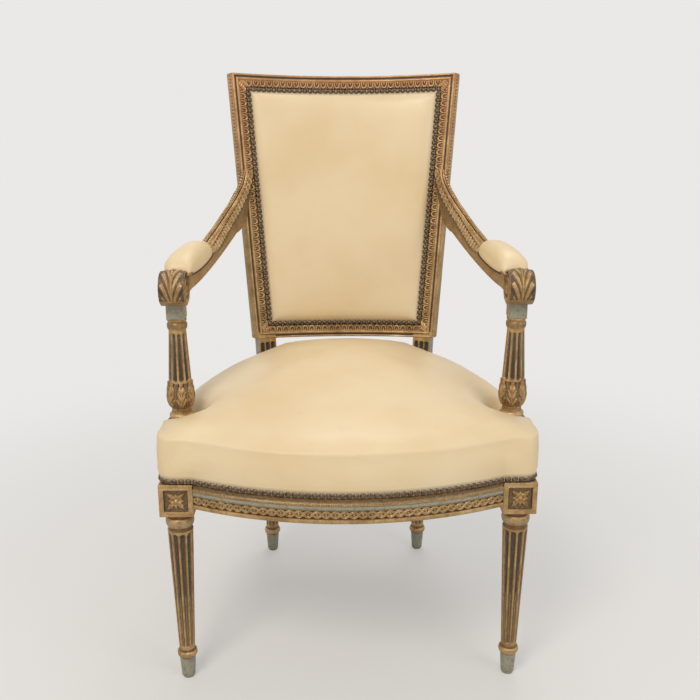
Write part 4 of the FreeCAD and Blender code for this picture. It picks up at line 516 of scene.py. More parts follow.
def block(form, centre, size, panels=None, rounding=1.3, tone=1.0):
    """A block with softened edges. panels maps a side, (axis, sign), to a relief
    (across, up) that gives height, gilt and depth on that face."""
    half = np.asarray(size, float) / 2
    edge = np.array([0.0, 0.25, 0.6, 1.0]) * rounding

    def spread(reach, detailed):
        count = max(int(2 * (reach - rounding) / (0.9 if detailed else 6)), 2)
        inner = np.linspace(-reach + rounding, reach - rounding, count + 1)
        return np.concatenate([-reach + edge[:-1], inner, reach - edge[:-1][::-1]])

    axes = [spread(h, bool(panels)) for h in half]
    grids = []
    for axis in range(3):
        for sign in (-1, 1):
            u, v = [i for i in range(3) if i != axis]
            if (sign > 0) != (axis == 1):
                a, b = np.meshgrid(axes[u], axes[v], indexing="ij")
            else:
                b, a = np.meshgrid(axes[v], axes[u], indexing="ij")
            p = np.zeros(a.shape + (3,))
            p[..., u], p[..., v], p[..., axis] = a, b, sign * half[axis]
            shade = np.zeros(a.shape + (2,))
            shade[..., 0] = tone
            core = np.clip(p, -(half - rounding), half - rounding)
            out = p - core
            length = np.linalg.norm(out, axis=-1, keepdims=True)
            p = core + out / np.maximum(length, 1e-9) * rounding
            relief = (panels or {}).get((axis, sign))
            if relief:
                height, shine, dark = relief(a, b)
                p[..., axis] += sign * height
                shade[..., 0] = shine
                shade[..., 1] = dark
            grids.append((p + np.asarray(centre, float), shade))
    points, quads, shade = weld(grids)
    form.add(points, quads, np.zeros((0, 3), int), shade)


def rosette(a, b):
    """A sunk square with an open leaf rosette: four long ribbed leaves towards
    the corners, four short ones between them, and a knob in the middle. The
    height is the highest of them at each point."""
    inside = np.maximum(np.abs(a), np.abs(b))
    radius = np.hypot(a, b)
    angle = np.arctan2(b, a)
    sunk = -3.0 * (1 - ease(inside, 17.4, 18.4))
    bead = 0.9 * ridge(inside - 19.6, 1.1)
    leaves = np.zeros_like(a)
    for start, length, wide, high in ((math.pi / 4, 19.0, 5.2, 5.4), (0, 13.5, 3.6, 3.8)):
        off = np.mod(angle - start + math.pi / 4, math.pi / 2) - math.pi / 4
        along = radius * np.cos(off)
        aside = radius * np.sin(off)
        t = np.clip(along / length, 0, 1)
        half = wide * np.sin(math.pi * t ** 0.8) ** 0.75 * (0.84 + 0.16 * np.cos(t * 6 * math.pi))
        body = high * ridge(aside, np.maximum(half, 0.05)) * (0.55 + 0.45 * t) * (t < 1)
        rib = 1 - 0.38 * np.exp(-((aside / 0.55) ** 2)) - 0.16 * np.cos(np.abs(aside) * 3.6 + along)
        leaves = np.maximum(leaves, body * rib)
    leaves = np.maximum(leaves, 5.2 * ridge(radius, 3.4))
    height = sunk + bead + leaves * (inside < 17.6)
    floor = (inside < 17.8) & (leaves < 1.0)
    dark = np.where(floor, 0.62, np.clip(0.55 - 0.16 * leaves, 0, 0.6) * (inside < 17.8))
    dark = np.maximum(dark, np.where((inside > 17.4) & (inside < 18.6), 0.8, 0))
    dark = np.maximum(dark, 0.12)
    return height, np.ones_like(a), dark


front_legs = Form()
turned_leg(front_legs, (LEG_X, FRONT_Y))
block(
    front_legs, (LEG_X, FRONT_Y, (BLOCK_LOW + BLOCK_TOP) / 2), (54, 54, BLOCK_TOP - BLOCK_LOW),
    {(1, -1): rosette, (0, 1): rosette},
)
block(front_legs, (LEG_X - 6, FRONT_Y + 6, 367.2), (36, 36, 14), rounding=0.8)
front_legs.mirror().build("front_legs", WOOD, "gilded_wood")

# Bowed seat rails


def guilloche(s, v, half, pitch):
    """Two ribbons that cross in turn, round discs in their loops. s runs along
    the band and v across it, from -half to half."""
    phase = math.pi * s / pitch
    sway = half * 0.62
    width = half * 0.34
    slope = np.sqrt(1 + (sway * math.pi / pitch * np.cos(phase)) ** 2)
    over = 0.5 + 0.5 * np.sign(np.cos(phase))
    ribbons = []
    for side, high in ((1, 0.75 + 0.25 * over), (-1, 1 - 0.25 * over)):
        aside = (v - side * sway * np.sin(phase)) / slope
        ribbons.append(ridge(aside, width) * high - 0.35 * soft_ridge(aside, width * 0.35))
    centre = (np.round(s / pitch - 0.5) + 0.5) * pitch
    disc = 1.5 * ridge(np.hypot(s - centre, v), half * 0.3)
    return np.maximum(1.7 * np.maximum(*ribbons), disc)


def rail_face(s, z):
    """Moulded face of a seat rail, from its top down: strip under the leather,
    hollow, beads, painted band, ribbon carving, lower edge."""
    sink = np.clip(1 - ((z - 356.8) / 4.2) ** 2, 0, 1)
    rope = ridge(z - 350.7, 1.9) * (0.72 + 0.28 * np.cos(2 * math.pi * s / 3.6))
    ribbon = guilloche(s, z - 335.1, half=7.2, pitch=14.0)
    inner = np.abs(z - 335.1) < 7.0
    return zones(
        z, (-3.0, 1.0, 0.1),
        (352.6, BLOCK_TOP, 0.2 - 2.2 * sink, 1.0, 0.3 + 0.3 * sink),
        (348.8, 352.6, -1.5 + 1.9 * rope, 1.0, 0.7 - 0.7 * rope),
        (342.8, 348.8, -1.4 + 1.2 * ridge(z - 345.8, 3.1), 0.0, 0.55 * (1 - ridge(z - 345.8, 3.0))),
        (327.4, 342.8, np.where(inner, -2.2 + 1.35 * ribbon, 0.1), 1.0,
         np.where(inner, np.clip(0.85 - 0.55 * ribbon, 0, 0.85), 0.1)),
        (0.0, 327.4, -0.9 + 1.2 * ridge(z - 324.0, 3.4), 1.0, 0.6 * (1 - ridge(z - 324.0, 3.6))),
    )


RAIL_Z = np.concatenate([
    steps(374.6, (361.1, 4)), steps(360.9, (352.7, 12)), steps(352.5, (348.9, 9)),
    steps(348.7, (342.9, 9)), steps(342.7, (327.5, 36)), steps(327.3, (320.6, 9)),
])


def rail(form, centre, radius, thickness, first, last, middle=0.0):
    """A rail on an arc about an upright axis, between two angles."""
    count = int(abs(last - first) * radius / 0.85)
    angle = np.linspace(first, last, count)
    s, z = np.meshgrid((angle - middle) * radius, RAIL_Z, indexing="ij")
    out, shine, dark = rail_face(s, z)
    plain = np.ones((count, 4))
    z = np.concatenate([z, plain * [RAIL_LOW, RAIL_LOW, 374.8, 374.8]], 1)
    out = np.concatenate([out, plain * [-2.0, -thickness, -thickness, -3.5]], 1)
    shine = np.concatenate([shine, plain * 0.6], 1)
    dark = np.concatenate([dark, plain * 0.55], 1)
    r = radius + out
    turn = angle[:, None]
    form.rings(xyz(centre[0] + r * np.cos(turn), centre[1] + r * np.sin(turn), z), shine, dark)


# The front rail's bow over the chord between the blocks, and its circle.
BOW = 57.0
BOW_HALF = 244.0
BOW_RADIUS = (BOW_HALF ** 2 + BOW ** 2) / (2 * BOW)
BOW_AXIS = FRONT_Y - 27 - BOW + BOW_RADIUS
swing = math.asin(BOW_HALF / BOW_RADIUS)
front_rail = Form()
ahead = -math.pi / 2
rail(front_rail, (0, BOW_AXIS), BOW_RADIUS, 28, ahead - swing, ahead + swing, ahead)
front_rail.build("front_rail_carved", WOOD, "gilded_wood")

# A side rail's bow over its chord from front block to rear block.
SIDE_X1 = 282.0
SIDE_Y1 = FRONT_Y + 27
REAR_X = 157.0
SIDE_Y2 = REAR_Y - 23
SIDE_BOW = 36.0
chord = math.hypot(SIDE_X1 - REAR_X, SIDE_Y2 - SIDE_Y1)
SIDE_MIDDLE = chord ** 2 / (8 * SIDE_BOW) + SIDE_BOW / 2
side_lean = math.atan((SIDE_X1 - REAR_X) / (SIDE_Y2 - SIDE_Y1))
SIDE_AXIS = (
    (SIDE_X1 + REAR_X) / 2 + (SIDE_BOW - SIDE_MIDDLE) * math.cos(side_lean),
    (SIDE_Y1 + SIDE_Y2) / 2 + (SIDE_BOW - SIDE_MIDDLE) * math.sin(side_lean),
)
SIDE_RADIUS = SIDE_MIDDLE + 15


def side_x(y, out=0.0):
    """The side rail's outer face at a depth."""
    return SIDE_AXIS[0] + np.sqrt((SIDE_RADIUS + out) ** 2 - (y - SIDE_AXIS[1]) ** 2)


side_rails = Form()
rail(
    side_rails, SIDE_AXIS, SIDE_RADIUS, 30,
    math.asin((SIDE_Y1 - 1 - SIDE_AXIS[1]) / SIDE_RADIUS),
    math.asin((SIDE_Y2 + 1 - SIDE_AXIS[1]) / SIDE_RADIUS),
)
side_rails.mirror().build("side_rails_carved", WOOD, "gilded_wood")

# The back's own frame: hollow across, leaning back, wider at the top


def corner_at(along):
    """Half the frame's width at a height along the lean."""
    return HALF_FOOT + (HALF_HEAD - HALF_FOOT) * along / FRAME_LENGTH


def back_radius(along):
    """Radius of the hollow between the two straight flanks."""
    return (corner_at(along) - FLANK * TURN_COS) / TURN_SIN


def half_span(along):
    """Length from the middle of the back to the frame's outer corner, along the face."""
    return back_radius(along) * TURN + FLANK


def on_back(q, along, back):
    """A point by its length from the middle along the face, its height along
    the lean, and its depth behind the face; an arc that runs out straight."""
    radius = back_radius(along)
    a = np.abs(q)
    arc = np.minimum(a, radius * TURN)
    over = a - arc
    angle = arc / radius
    x = (radius + back) * np.sin(angle) + over * TURN_COS
    y = (
        FLANK * TURN_SIN - radius * TURN_COS
        + (radius + back) * np.cos(angle) - over * TURN_SIN
    )
    return leaned(np.sign(q) * x, y, along)


def leaned(x, y, along):
    """From the back's leaning axes to the chair's own."""
    return xyz(
        x,
        BACK_Y + y * LEAN_COS + along * LEAN_SIN,
        BACK_Z - y * LEAN_SIN + along * LEAN_COS,
    )


def lambs_tongue(s, v, pitch):
    """Height of a row of leaf tongues: a raised arch open to the outside, a
    pointed leaf in it, and a dart between neighbours. v runs from 0 outside to
    1 inside, and the height is the highest of them."""
    u = repeat(s, pitch) * 2
    rise = np.clip(v - 0.3, 0, 1)
    ring = np.hypot(u, rise * 1.25)
    arch = 1.9 * ridge(ring - 0.7, 0.24) * (v < 0.97)
    leaf = 1.7 * ridge(u, 0.34 * np.clip(1 - v / 0.62, 0.02, 1) + 0.02) * (v < 0.62)
    dart = 1.3 * ridge(1 - np.abs(u), 0.18) * ease(v, 0.55, 0.7)
    rim = 1.2 * ridge(v - 0.02, 0.07)
    return np.maximum.reduce([arch, leaf, dart, rim])


def frame_face(w, s, ends):
    """Moulding of the back's frame at a distance w from its outer edge: fillet,
    groove, round, carved band. ends is the distance to the nearest mitre."""
    torus = ridge(w - 9.5, 3.0)
    relief = lambs_tongue(s, (w - 12.4) / 12.2, pitch=13.5)
    vein = 0.6 * np.cos(w * 1.9 + np.abs(ends) * 1.1)
    spine = 1.1 * np.exp(-((ends / 0.8) ** 2))
    leaf = (2.5 + vein) * ridge(ends, 8.5) - spine
    relief = np.where(ends < 8, np.maximum(leaf, 0), relief)
    return zones(
        w, (0.6, 1.0, 0.0),
        (-1.0, 3.6, 0.2 + 0.8 * ridge(w - 1.8, 1.9), 1.0, 0.0),
        (3.6, 6.6, -1.6, 1.0, 0.9),
        (6.6, 12.4, -1.2 + 2.4 * torus, 1.0, 0.55 * (1 - torus)),
        (12.4, 24.6, -1.6 + relief, 1.0, np.clip(0.8 - 0.5 * relief, 0, 0.8)),
        (25.2, 99.0, -7.0, 1.0, 0.9),
    )


def side_face(deep, s, upper):
    """Outer side of a stile, how far it stands out: a row of pearls between two
    fillets above the arm, and a plain painted face below it."""
    pearl = 2.4 * ridge(np.hypot(repeat(s, PEARLS) * PEARLS, deep - 9.0), 3.1)
    string = 0.6 * ridge(deep - 9.0, 0.9)
    bed = (deep > 5.6) & (deep < 12.4)
    splay = 4.5 * ease(deep, 1.5, 9) * (1 - ease(deep, 24, 37))
    out = splay + np.where(upper > 0, np.maximum(pearl, string) - 1.2 * bed, 0)
    dark = np.where(upper > 0, np.where(bed, 0.6 - 0.6 * pearl / 2.4, 0.1), 0.2)
    return out, np.where(deep > 25, 0.3, 1.0), dark


FRAME_W = np.concatenate([
    steps(0.0, (3.55, 5)), steps(3.65, (6.55, 2)), steps(6.65, (12.35, 8)),
    steps(12.45, (24.55, 18)), [24.9, 25.3, 40.0],
])
SIDE_D = np.concatenate([steps(37.0, (14.0, 8)), steps(12.6, (5.4, 14)), [4.0, 2.6, 1.2]])


def frame_member(form, kind):
    """One member of the back's frame between its two mitres."""
    long_way = kind == "stile"
    count = 540 if long_way else 500
    t = np.linspace(0, 1, count)[:, None]
    w = np.concatenate([FRAME_W, [40.0, 40.0, 1.5, 0.0], np.zeros(len(SIDE_D))])[None, :]
    w = np.repeat(w, count, 0)
    if long_way:
        along = w + t * (FRAME_LENGTH - 2 * w)
        q = half_span(along) - w
        s = along - 6.75
        ends = np.minimum(along - w, FRAME_LENGTH - w - along) / math.sqrt(2)
    else:
        along = w if kind == "bottom" else FRAME_LENGTH - w
        reach = half_span(along) - w
        q = (2 * t - 1) * reach
        s = q
        ends = (reach - np.abs(q)) / math.sqrt(2)
    front = len(FRAME_W)
    side = front + 4
    depth = np.repeat(SIDE_D[None, :], count, 0)
    out, shine, dark = frame_face(w[:, :front], s[:, :front], ends[:, :front])
    if long_way:
        upper = ease(along[:, side:], 262, 264)
        lift, side_shine, side_dark = side_face(depth, along[:, side:], upper)
        q[:, side:] += lift
    else:
        side_shine, side_dark = np.where(depth > 14, 0.3, 1.0), np.full_like(depth, 0.2)
    plain = np.ones((count, 4))
    back = np.concatenate([-out, plain * [7.5, FRAME_THICK, FRAME_THICK, FRAME_THICK - 0.4], depth], 1)
    shine = np.concatenate([shine, plain * 0.3, side_shine], 1)
    dark = np.concatenate([dark, plain * 0.4, side_dark], 1)
    form.rings(on_back(q, along, back), shine, dark)


back_frame = Form()
frame_member(back_frame, "stile")
back_frame.mirror().build("back_stiles_carved", WOOD, "gilded_wood")
back_rails = Form()
frame_member(back_rails, "top")
frame_member(back_rails, "bottom")
back_rails.build("back_frame_carved", WOOD, "gilded_wood")

# Rear legs with the stiles that carry the back


def stile(form):
    """The post between seat and back: three stopped flutes on its face."""
    middle, pitch, ball = 21.5, 10.6, 4.2
    a = steps(3.5, (4.1, 1), (38.9, 60), (39.5, 1))
    on_face = np.arange(len(a) + 6) < len(a)
    b = np.concatenate([[1.4], np.ones(len(a) - 2), [1.4, 2.0, 32.0, 33.0, 33.0, 32.0, 2.0]])
    a = np.concatenate([a, [39.5, 39.5, 38.5, 4.5, 3.5, 3.5]])
    z = steps(371, (464, 60), (472, 12), (487, 4))[:, None]
    foot = (REAR_X + middle * TURN_COS - 17 * TURN_SIN,
            REAR_Y + 3 - middle * TURN_SIN - 17 * TURN_COS)
    head = (corner_at(12), BACK_Y + 12 * math.tan(RECLINE))
    x, y = (low + (high - low) * (z - 371) / 116 for low, high in zip(foot, head))
    reach = np.hypot(repeat(a - middle, pitch) * pitch, np.maximum(z - 462, 0))
    fluted = on_face & (np.abs(a - middle) < pitch * 1.5)
    flute = np.where(fluted, np.sqrt(np.clip(ball ** 2 - reach ** 2, 0, None)) * 0.8, 0)
    depth = b + flute
    points = xyz(
        x - a * TURN_COS + depth * TURN_SIN,
        y + a * TURN_SIN + depth * TURN_COS, z,
    )
    shine = np.where(flute > 0.8, 0.3, np.where(on_face, 1.0, 0.1))
    form.rings(points, shine, np.clip(flute / 3.6, 0, 0.85) + 0.1)


rear_legs = Form()
turned_leg(rear_legs, (REAR_X, REAR_Y))
block(rear_legs, (REAR_X, REAR_Y, (BLOCK_LOW + RAIL_TOP) / 2), (46, 46, 68.4), tone=0.45)
stile(rear_legs)
rear_legs.mirror().build("rear_legs", WOOD, "gilded_wood")

# Arm supports

SUPPORT = (278.0, FRONT_Y + 105)
# Height and radius of the base, then of the rings above the flutes.
SUPPORT_BASE = (
    (376, 14), (410.5, 14), (411, 20.6), (412, 21.6), (414, 23.4), (417, 24.6), (420, 24.6),
    (423, 23.6), (425.6, 21.4), (426.6, 19.4), (427.4, 19.2), (429, 19.8), (431.4, 20.3),
    (434, 19.8), (436, 18.0), (437, 16.6), (440, 15.9), (443, 15.9), (445, 16.4),
)
SUPPORT_HEAD = (
    (577, 14.2), (579.6, 14.4), (580.4, 15.4), (583, 16.3), (586.5, 16.7), (590, 16.2),
    (591.6, 15.0), (592.6, 14.0), (593.6, 15.2), (595.4, 16.0), (597.2, 15.6),
)


def leaf_rows(angle, z, low, high, count):
    """Height of upright acanthus leaves round a bulb: each has a rib, side lobes
    and a tip that stands out; a second row shows between the tips."""
    t = np.clip((z - low) / (high - low), 0, 1)
    u = repeat(angle, 2 * math.pi / count) * 2
    lobes = 0.86 + 0.14 * np.cos(t * 6 * math.pi)
    half = 0.96 * np.sqrt(np.clip(1 - t ** 3.2, 0, 1)) * lobes
    body = ridge(u, np.maximum(half, 0.05)) * (t < 1)
    rib = 1.2 * np.exp(-((u / 0.13) ** 2))
    sweep = np.abs(u) ** 0.8 * 1.5 - t * 3.6
    finger = 2.0 * np.abs(np.cos(sweep * math.pi)) ** 0.6 - 0.9 - 0.3 * np.cos(sweep * 6 * math.pi)
    front = (1.6 + 1.6 * t ** 2) * body + (rib + finger * (np.abs(u) > 0.12)) * (body > 0.3)
    v = repeat(angle + math.pi / count, 2 * math.pi / count) * 2
    behind = (1.3 + 0.5 * np.cos(v * 18)) * ridge(v, 0.55) * (t < 0.98)
    return np.maximum(front, behind)


def support(form):
    """Base, waist, leaf bulb, flutes and rings; square neck above."""
    z_bulb = steps(445.8, (487, 62))
    t = (z_bulb - 445) / 42
    r_bulb = 16.4 + 5.0 * np.sin(math.pi * np.clip(t, 0, 1) ** 0.72) + 2.4 * t
    z_shaft = steps(488, (500, 14), (560, 10), (576, 16))
    r_shaft = 19.0 + (z_shaft - 487) * (14.0 - 19.0) / 93
    heights, radii = profile(
        SUPPORT_BASE, np.c_[z_bulb, r_bulb], np.c_[z_shaft, r_shaft], SUPPORT_HEAD
    )

    def relief(angle, z, radius):
        depth, _ = fluting(
            angle, z, radius, count=10, low=497, high=571, low_r=4.4, high_r=3.3, lift=0.8
        )
        leaf = leaf_rows(angle, z, low=446, high=492, count=7)
        on_bulb = (z > 445.5) & (z < 490)
        add = np.where(on_bulb, leaf * ease(z, 445.5, 449) - 1.6, -depth)
        shine = np.where(depth > 1.0, 0.45, 1.0)
        dark = 0.1 + np.clip(depth / 4.0, 0, 0.75)
        dark = np.where(on_bulb, np.clip(0.95 - 0.34 * leaf, 0, 0.9), dark)
        dark = np.where((z > 580.5) & (z < 592), 0.45, dark)
        dark = np.where((z > 425) & (z < 427.8), 0.7, dark)
        dark = np.where((z > 436) & (z < 445), 0.3, dark)
        return add, shine, dark

    lathe(form, heights, radii, SUPPORT, relief, 260)
    block(form, (*SUPPORT, 609.8), (29, 29, 25.4), rounding=1.2, tone=0.0)


supports = Form()
support(supports)
supports.mirror().build("arm_supports", WOOD, "gilded_wood")

# Arms


def arm_at(depth):
    """Middle, bottom, top and half width at a depth behind the front axes."""
    t = (depth - 130) / 325
    rise = np.maximum(t, 0)
    middle = 274 + (211 - 274) * rise
    slack = np.maximum(1 - rise, 0) ** 2
    return middle, 642 + 67 * rise ** 1.5, 673 + 84 * rise ** 1.75, (28 + 18 * slack) / 2


def arm_mouldings(run, outer, inner, fade, tilt):
    """Height, and depth of patina and painted shade, over the arm's top, from its
    outer edge in: pearls, fillet, groove, round band, and a ribbon band that
    fades out at the pad. tilt is the fall of the face towards the sitter, per millimetre."""
    pearl = 2.1 * ridge(np.hypot(repeat(run, PEARLS) * PEARLS, outer - 3.2), 3.0)
    ribbon = guilloche(run, inner - 7.0, half=6.0, pitch=11.5) * 1.3 * fade
    shadow = 0.6 * (1 - ridge(outer - 12.4, 3.2))
    plain = inner >= 13.2
    rim = (inner < 1.0) | (inner > 13.0)
    cut = np.where(rim, 0.3, -1.5 * fade + ribbon)
    cut_dark = np.where(rim, shadow, np.clip(0.8 - 0.5 * ribbon, 0, 0.8) * fade + 0.1)
    h, dark = zones(
        outer, (0.0, 0.0),
        (-9.0, 6.4, -0.9 + pearl, np.clip(0.7 - 0.4 * pearl, 0, 0.7)),
        (6.4, 8.0, 0.8, 0.05),
        (8.0, 9.6, -1.8, 0.9),
        (9.6, 15.4, -0.6 + 2.0 * ridge(outer - 12.4, 3.0), shadow),
        (15.4, 99.0, np.where(plain, 0.2, cut), np.where(plain, 0.15, cut_dark)),
    )
    edge = -1.4 * (1 - ridge(np.clip(1.2 - np.minimum(outer, inner), 0, 1.2), 1.21))
    return h + edge - tilt * np.maximum(outer - 6.4, 0), dark


# Where the points lie across the arm, its tilt towards the sitter, the depth at
# which it turns up, and the height along the lean at which it meets the stile.
ARM_ACROSS = -steps(-1, (-0.70, 12), (-0.2, 14), (0.3, 14), (0.97, 24), (1.0, 1))
ARM_TILT = 0.62
TURN_UP = 385.0
STILE_JOIN = 338.0
SCROLL_RADIUS = 28.0


def arm(form):
    """The swept arm up to the stile, with its mouldings on top."""
    depth = np.linspace(88, 486, 470)[:, None]
    middle, bottom, top, half = arm_at(depth)
    x = ARM_ACROSS * half
    run = np.r_[0, np.cumsum(np.hypot(np.diff(depth[:, 0]), np.diff(top[:, 0])))][:, None]
    tilt = ARM_TILT * ease(depth, 225, 300)
    h, dark = arm_mouldings(run, half - x, x + half, ease(depth, 235, 320), tilt)
    turned_up = ease(depth, TURN_UP, TURN_UP + 12)
    z = top + h - 6.0 * turned_up - 2.0 * (1 - ease(depth, 240, 320))
    sides = -np.array([1.0, 1.0, 1.0, 0.84, 0.0, -0.84, -1.0, -1.0, -1.0])
    levels = np.array([0.4, 0.3, 0.14, 0.0, -0.01, 0.0, 0.14, 0.5, 0.9])
    under = xyz(middle + sides * half, depth + FRONT_Y, bottom + levels * (top - bottom))
    points = np.concatenate([xyz(middle + x, depth + FRONT_Y, z), under], 1)
    form.rings(points, 1.0, np.concatenate([dark, np.full(under.shape[:2], 0.25)], 1))


def bezier(a, b, c, d, t):
    """The cubic curve through a and d that leaves along b and arrives along c."""
    return (1 - t) ** 3 * a + 3 * (1 - t) ** 2 * t * b + 3 * (1 - t) * t * t * c + t ** 3 * d


def arm_rise(form):
    """Where the arm turns up the stile: its mouldings follow a curve that leaves
    along the arm's top and arrives along the stile's face."""
    w = 12.3

    def on_arm(depth):
        middle, _, top, _ = arm_at(depth)
        return xyz(middle, depth + FRONT_Y, top)

    def on_stile(along):
        corner = corner_at(along)
        return leaned(corner - w * TURN_COS, w * TURN_SIN - 0.6, along)

    half = arm_at(TURN_UP)[3]
    start = on_arm(TURN_UP)
    ahead = start - on_arm(TURN_UP - 1)
    end = on_stile(STILE_JOIN)
    rise = end - on_stile(STILE_JOIN - 1)
    t = np.linspace(0, 1, 150)[:, None]
    path = bezier(start, start + 40 * ahead, end - 36 * rise, end, t)
    along = np.gradient(path, axis=0)
    along /= np.linalg.norm(along, axis=1, keepdims=True)
    share = ease(t, 0, 1)
    level = np.array([1.0, 0, 0]) * (1 - share) + share * np.array(
        [TURN_COS, -TURN_SIN * LEAN_COS, TURN_SIN * LEAN_SIN]
    )
    level -= along * (level * along).sum(1, keepdims=True) * share
    level /= np.linalg.norm(level, axis=1, keepdims=True)
    up = np.cross(level, along)
    up = up * share + np.array([0, 0, 1.0]) * (1 - share)
    up /= np.linalg.norm(up, axis=1, keepdims=True)
    width = half + (13.4 - half) * share
    x = ARM_ACROSS * width
    run = np.cumsum(np.r_[0, np.linalg.norm(np.diff(path, axis=0), axis=1)])[:, None]
    h, dark = arm_mouldings(run + 330, width - x, x + width, 1.0, ARM_TILT * (1 - share))
    thick = 12 + 18 * (1 - share) + 20 * np.sin(math.pi * t) ** 0.8
    x = np.concatenate([x, [-1.0, -1.0, 0.0, 1.0, 1.0] * width], 1)[..., None]
    h = np.concatenate([h, [-0.9, -1.0, -1.0, -1.0, -0.5] * thick], 1)[..., None]
    dark = np.concatenate([dark, np.full((len(t), 5), 0.3)], 1)
    form.rings(path[:, None, :] + level[:, None, :] * x + up[:, None, :] * h, 1.0, dark)


def scroll(form):
    """The rolled end of an arm: acanthus on its front and top, a volute on
    each side."""
    middle = arm_at(88.0)[0] + 3
    half = 20.6
    axis = (FRONT_Y + 89, 650.0)
    angle = np.linspace(0, 2 * math.pi, 280, endpoint=False)
    e, a = np.meshgrid(steps(-1, (-0.94, 4), (0.94, 64), (1, 4)), angle, indexing="ij")
    up = a / (2 * math.pi)
    # The leaf starts under the front, at up = 0.56, and its tip lies on top at 0.10.
    t = np.mod(0.60 - up, 1.0) / 0.56
    leafy = (t < 1.0) & (np.abs(e) < 0.97)
    lobes = 0.86 + 0.14 * np.cos((t * 5.2 - 0.3) * 2 * math.pi)
    spread = np.clip((0.62 + 0.38 * np.sin(math.pi * np.clip(t, 0, 1) ** 0.7)) * lobes, 0.2, 1)
    inside = np.clip(1 - (np.abs(e) / spread) ** 7, 0, 1)
    rib = 2.2 * np.exp(-((e / 0.08) ** 2))
    sweep = np.abs(e) ** 0.55 * 2.6 - t * 4.2
    finger = 2.1 * np.abs(np.cos(sweep * math.pi)) ** 0.6 - 1.0 - 0.35 * np.cos(sweep * 6 * math.pi)
    swell = 1.4 * (1 - e ** 2)
    leaf = np.where(leafy, inside * (swell + rib + finger * (np.abs(e) > 0.1)), 0)
    radius = SCROLL_RADIUS - 1.6 * np.clip((np.abs(e) - 0.94) / 0.06, 0, 1) ** 2 + leaf
    dark = np.where(
        leafy, np.clip(0.62 - 0.42 * finger - 0.3 * rib + 0.5 * (inside < 0.4), 0, 0.9), 0.3
    )
    drum = xyz(middle + e * half, axis[0] + radius * np.cos(a), axis[1] + radius * np.sin(a))
    rings, darks = [drum], [dark]
    for side in (-1, 1):
        f, b = np.meshgrid(np.linspace(0.97, 0.03, 32), angle, indexing="ij")
        coil = np.cos(b * side + 6.0 * math.pi * np.sqrt(f))
        rise = 1.3 * coil * ease(f, 0.16, 0.3) * ease(1 - f, 0.02, 0.1) + 2.6 * ridge(f, 0.2)
        r = radius[0 if side < 0 else -1] * f
        disc = xyz(
            middle + side * (half + rise - 0.2), axis[0] + r * np.cos(b), axis[1] + r * np.sin(b)
        )
        tone = np.clip(0.45 - 0.5 * coil, 0, 0.8) * (f > 0.2)
        rings = [disc[::-1]] + rings if side < 0 else rings + [disc]
        darks = [tone[::-1]] + darks if side < 0 else darks + [tone]
    form.rings(np.concatenate(rings), 1.0, np.concatenate(darks))
    block(form, (SUPPORT[0] - 2, SUPPORT[1] + 2, 636), (30, 36, 27), rounding=1.5)


arms = Form()
arm(arms)
arm_rise(arms)
arms.mirror().build("arms_carved", WOOD, "gilded_wood")
scrolls = Form()
scroll(scrolls)
scrolls.mirror().build("arm_scrolls_carved", WOOD, "gilded_wood")

# Arm pads


PAD_START = 113.0
PAD_LENGTH = 134.0
PAD_HEIGHT = 37.0
PAD_FOOT = 7.0


def pad_plan(share):
    """The pad at a share of its length: its middle, its reach to each side, its
    depth, the arm's top there, and how far it is from its middle, 0 to 1."""
    depth = PAD_START + PAD_LENGTH * share
    off = np.abs(2 * share - 1)
    middle, _, top, half = arm_at(depth)
    narrow = 0.66 + 0.34 * np.sqrt(np.maximum(1 - off ** 3.4, 0))
    return middle, (half + 3.2) * narrow, depth + FRONT_Y, top, off


def pad_rings(count, around):
    """A stuffed pad on the arm: its lower edge lies a little down the arm's
    sides, its top is arched and its ends round off."""
    share = 0.5 - 0.5 * np.cos(math.pi * np.linspace(0, 1, count))[:, None]
    middle, reach, y, top, off = pad_plan(share)
    fullness = 0.16 + 0.84 * np.sqrt(np.maximum(1 - off ** 2.4, 0))
    angle = np.linspace(0, math.pi, around)
    x = np.sign(np.cos(angle)) * np.abs(np.cos(angle)) ** 0.7
    z = np.sin(angle) ** 0.74
    belly = 1 + 0.05 * np.sin(angle * 2) ** 2
    upper = xyz(middle + reach * x * belly, y, top - PAD_FOOT + PAD_HEIGHT * fullness * z)
    lower = upper[:, ::-1].copy()[:, 1:-1]
    lower[..., 2] = top - PAD_FOOT - 0.15
    return np.concatenate([upper, lower], 1)


pads = Form()
pads.rings(pad_rings(60, 44))
arm_pads = pads.mirror().build("arm_pads_leather", HIDE, "leather", angle=60)


def gimp(form):
    """A twisted cord laid along the foot of the pad, all round it."""
    half = 1.15
    out = np.linspace(0, 1, 90)
    side = np.repeat([1, -1], 90)
    middle, reach, y, top, _ = pad_plan(np.r_[out, out[::-1]])
    path = xyz(middle + side * (reach + 0.9), y, top - 6)
    ahead = np.roll(path, -1, 0) - np.roll(path, 1, 0)
    length = np.cumsum(np.r_[0, np.linalg.norm(np.diff(path, axis=0), axis=1)])
    level = np.stack([ahead[:, 1], -ahead[:, 0], np.zeros(len(path))], -1)
    level /= np.linalg.norm(level, axis=1, keepdims=True) + 1e-9
    turn = np.linspace(0, 2 * math.pi, 10, endpoint=False)
    twist = 1 + 0.16 * np.cos(2 * turn[None, :] - length[:, None] * 2.2)
    points = path[:, None, :] + level[:, None, :] * (half * twist * np.cos(turn))[..., None]
    points[..., 2] += half * twist * np.sin(turn)
    form.rings(points, 1.0, 0.3)


cords = Form()
gimp(cords)
cords.mirror().build("arm_pad_gimp", GIMP, "welt_cord", 60)

# Stuffing that fills out its leather

CLOTH_FRAMES = 20


def corners(mesh):
    """The places of a mesh's vertices, in metres."""
    flat = np.empty(len(mesh.vertices) * 3, np.float32)
    mesh.vertices.foreach_get("co", flat)
    return flat.reshape(-1, 3)


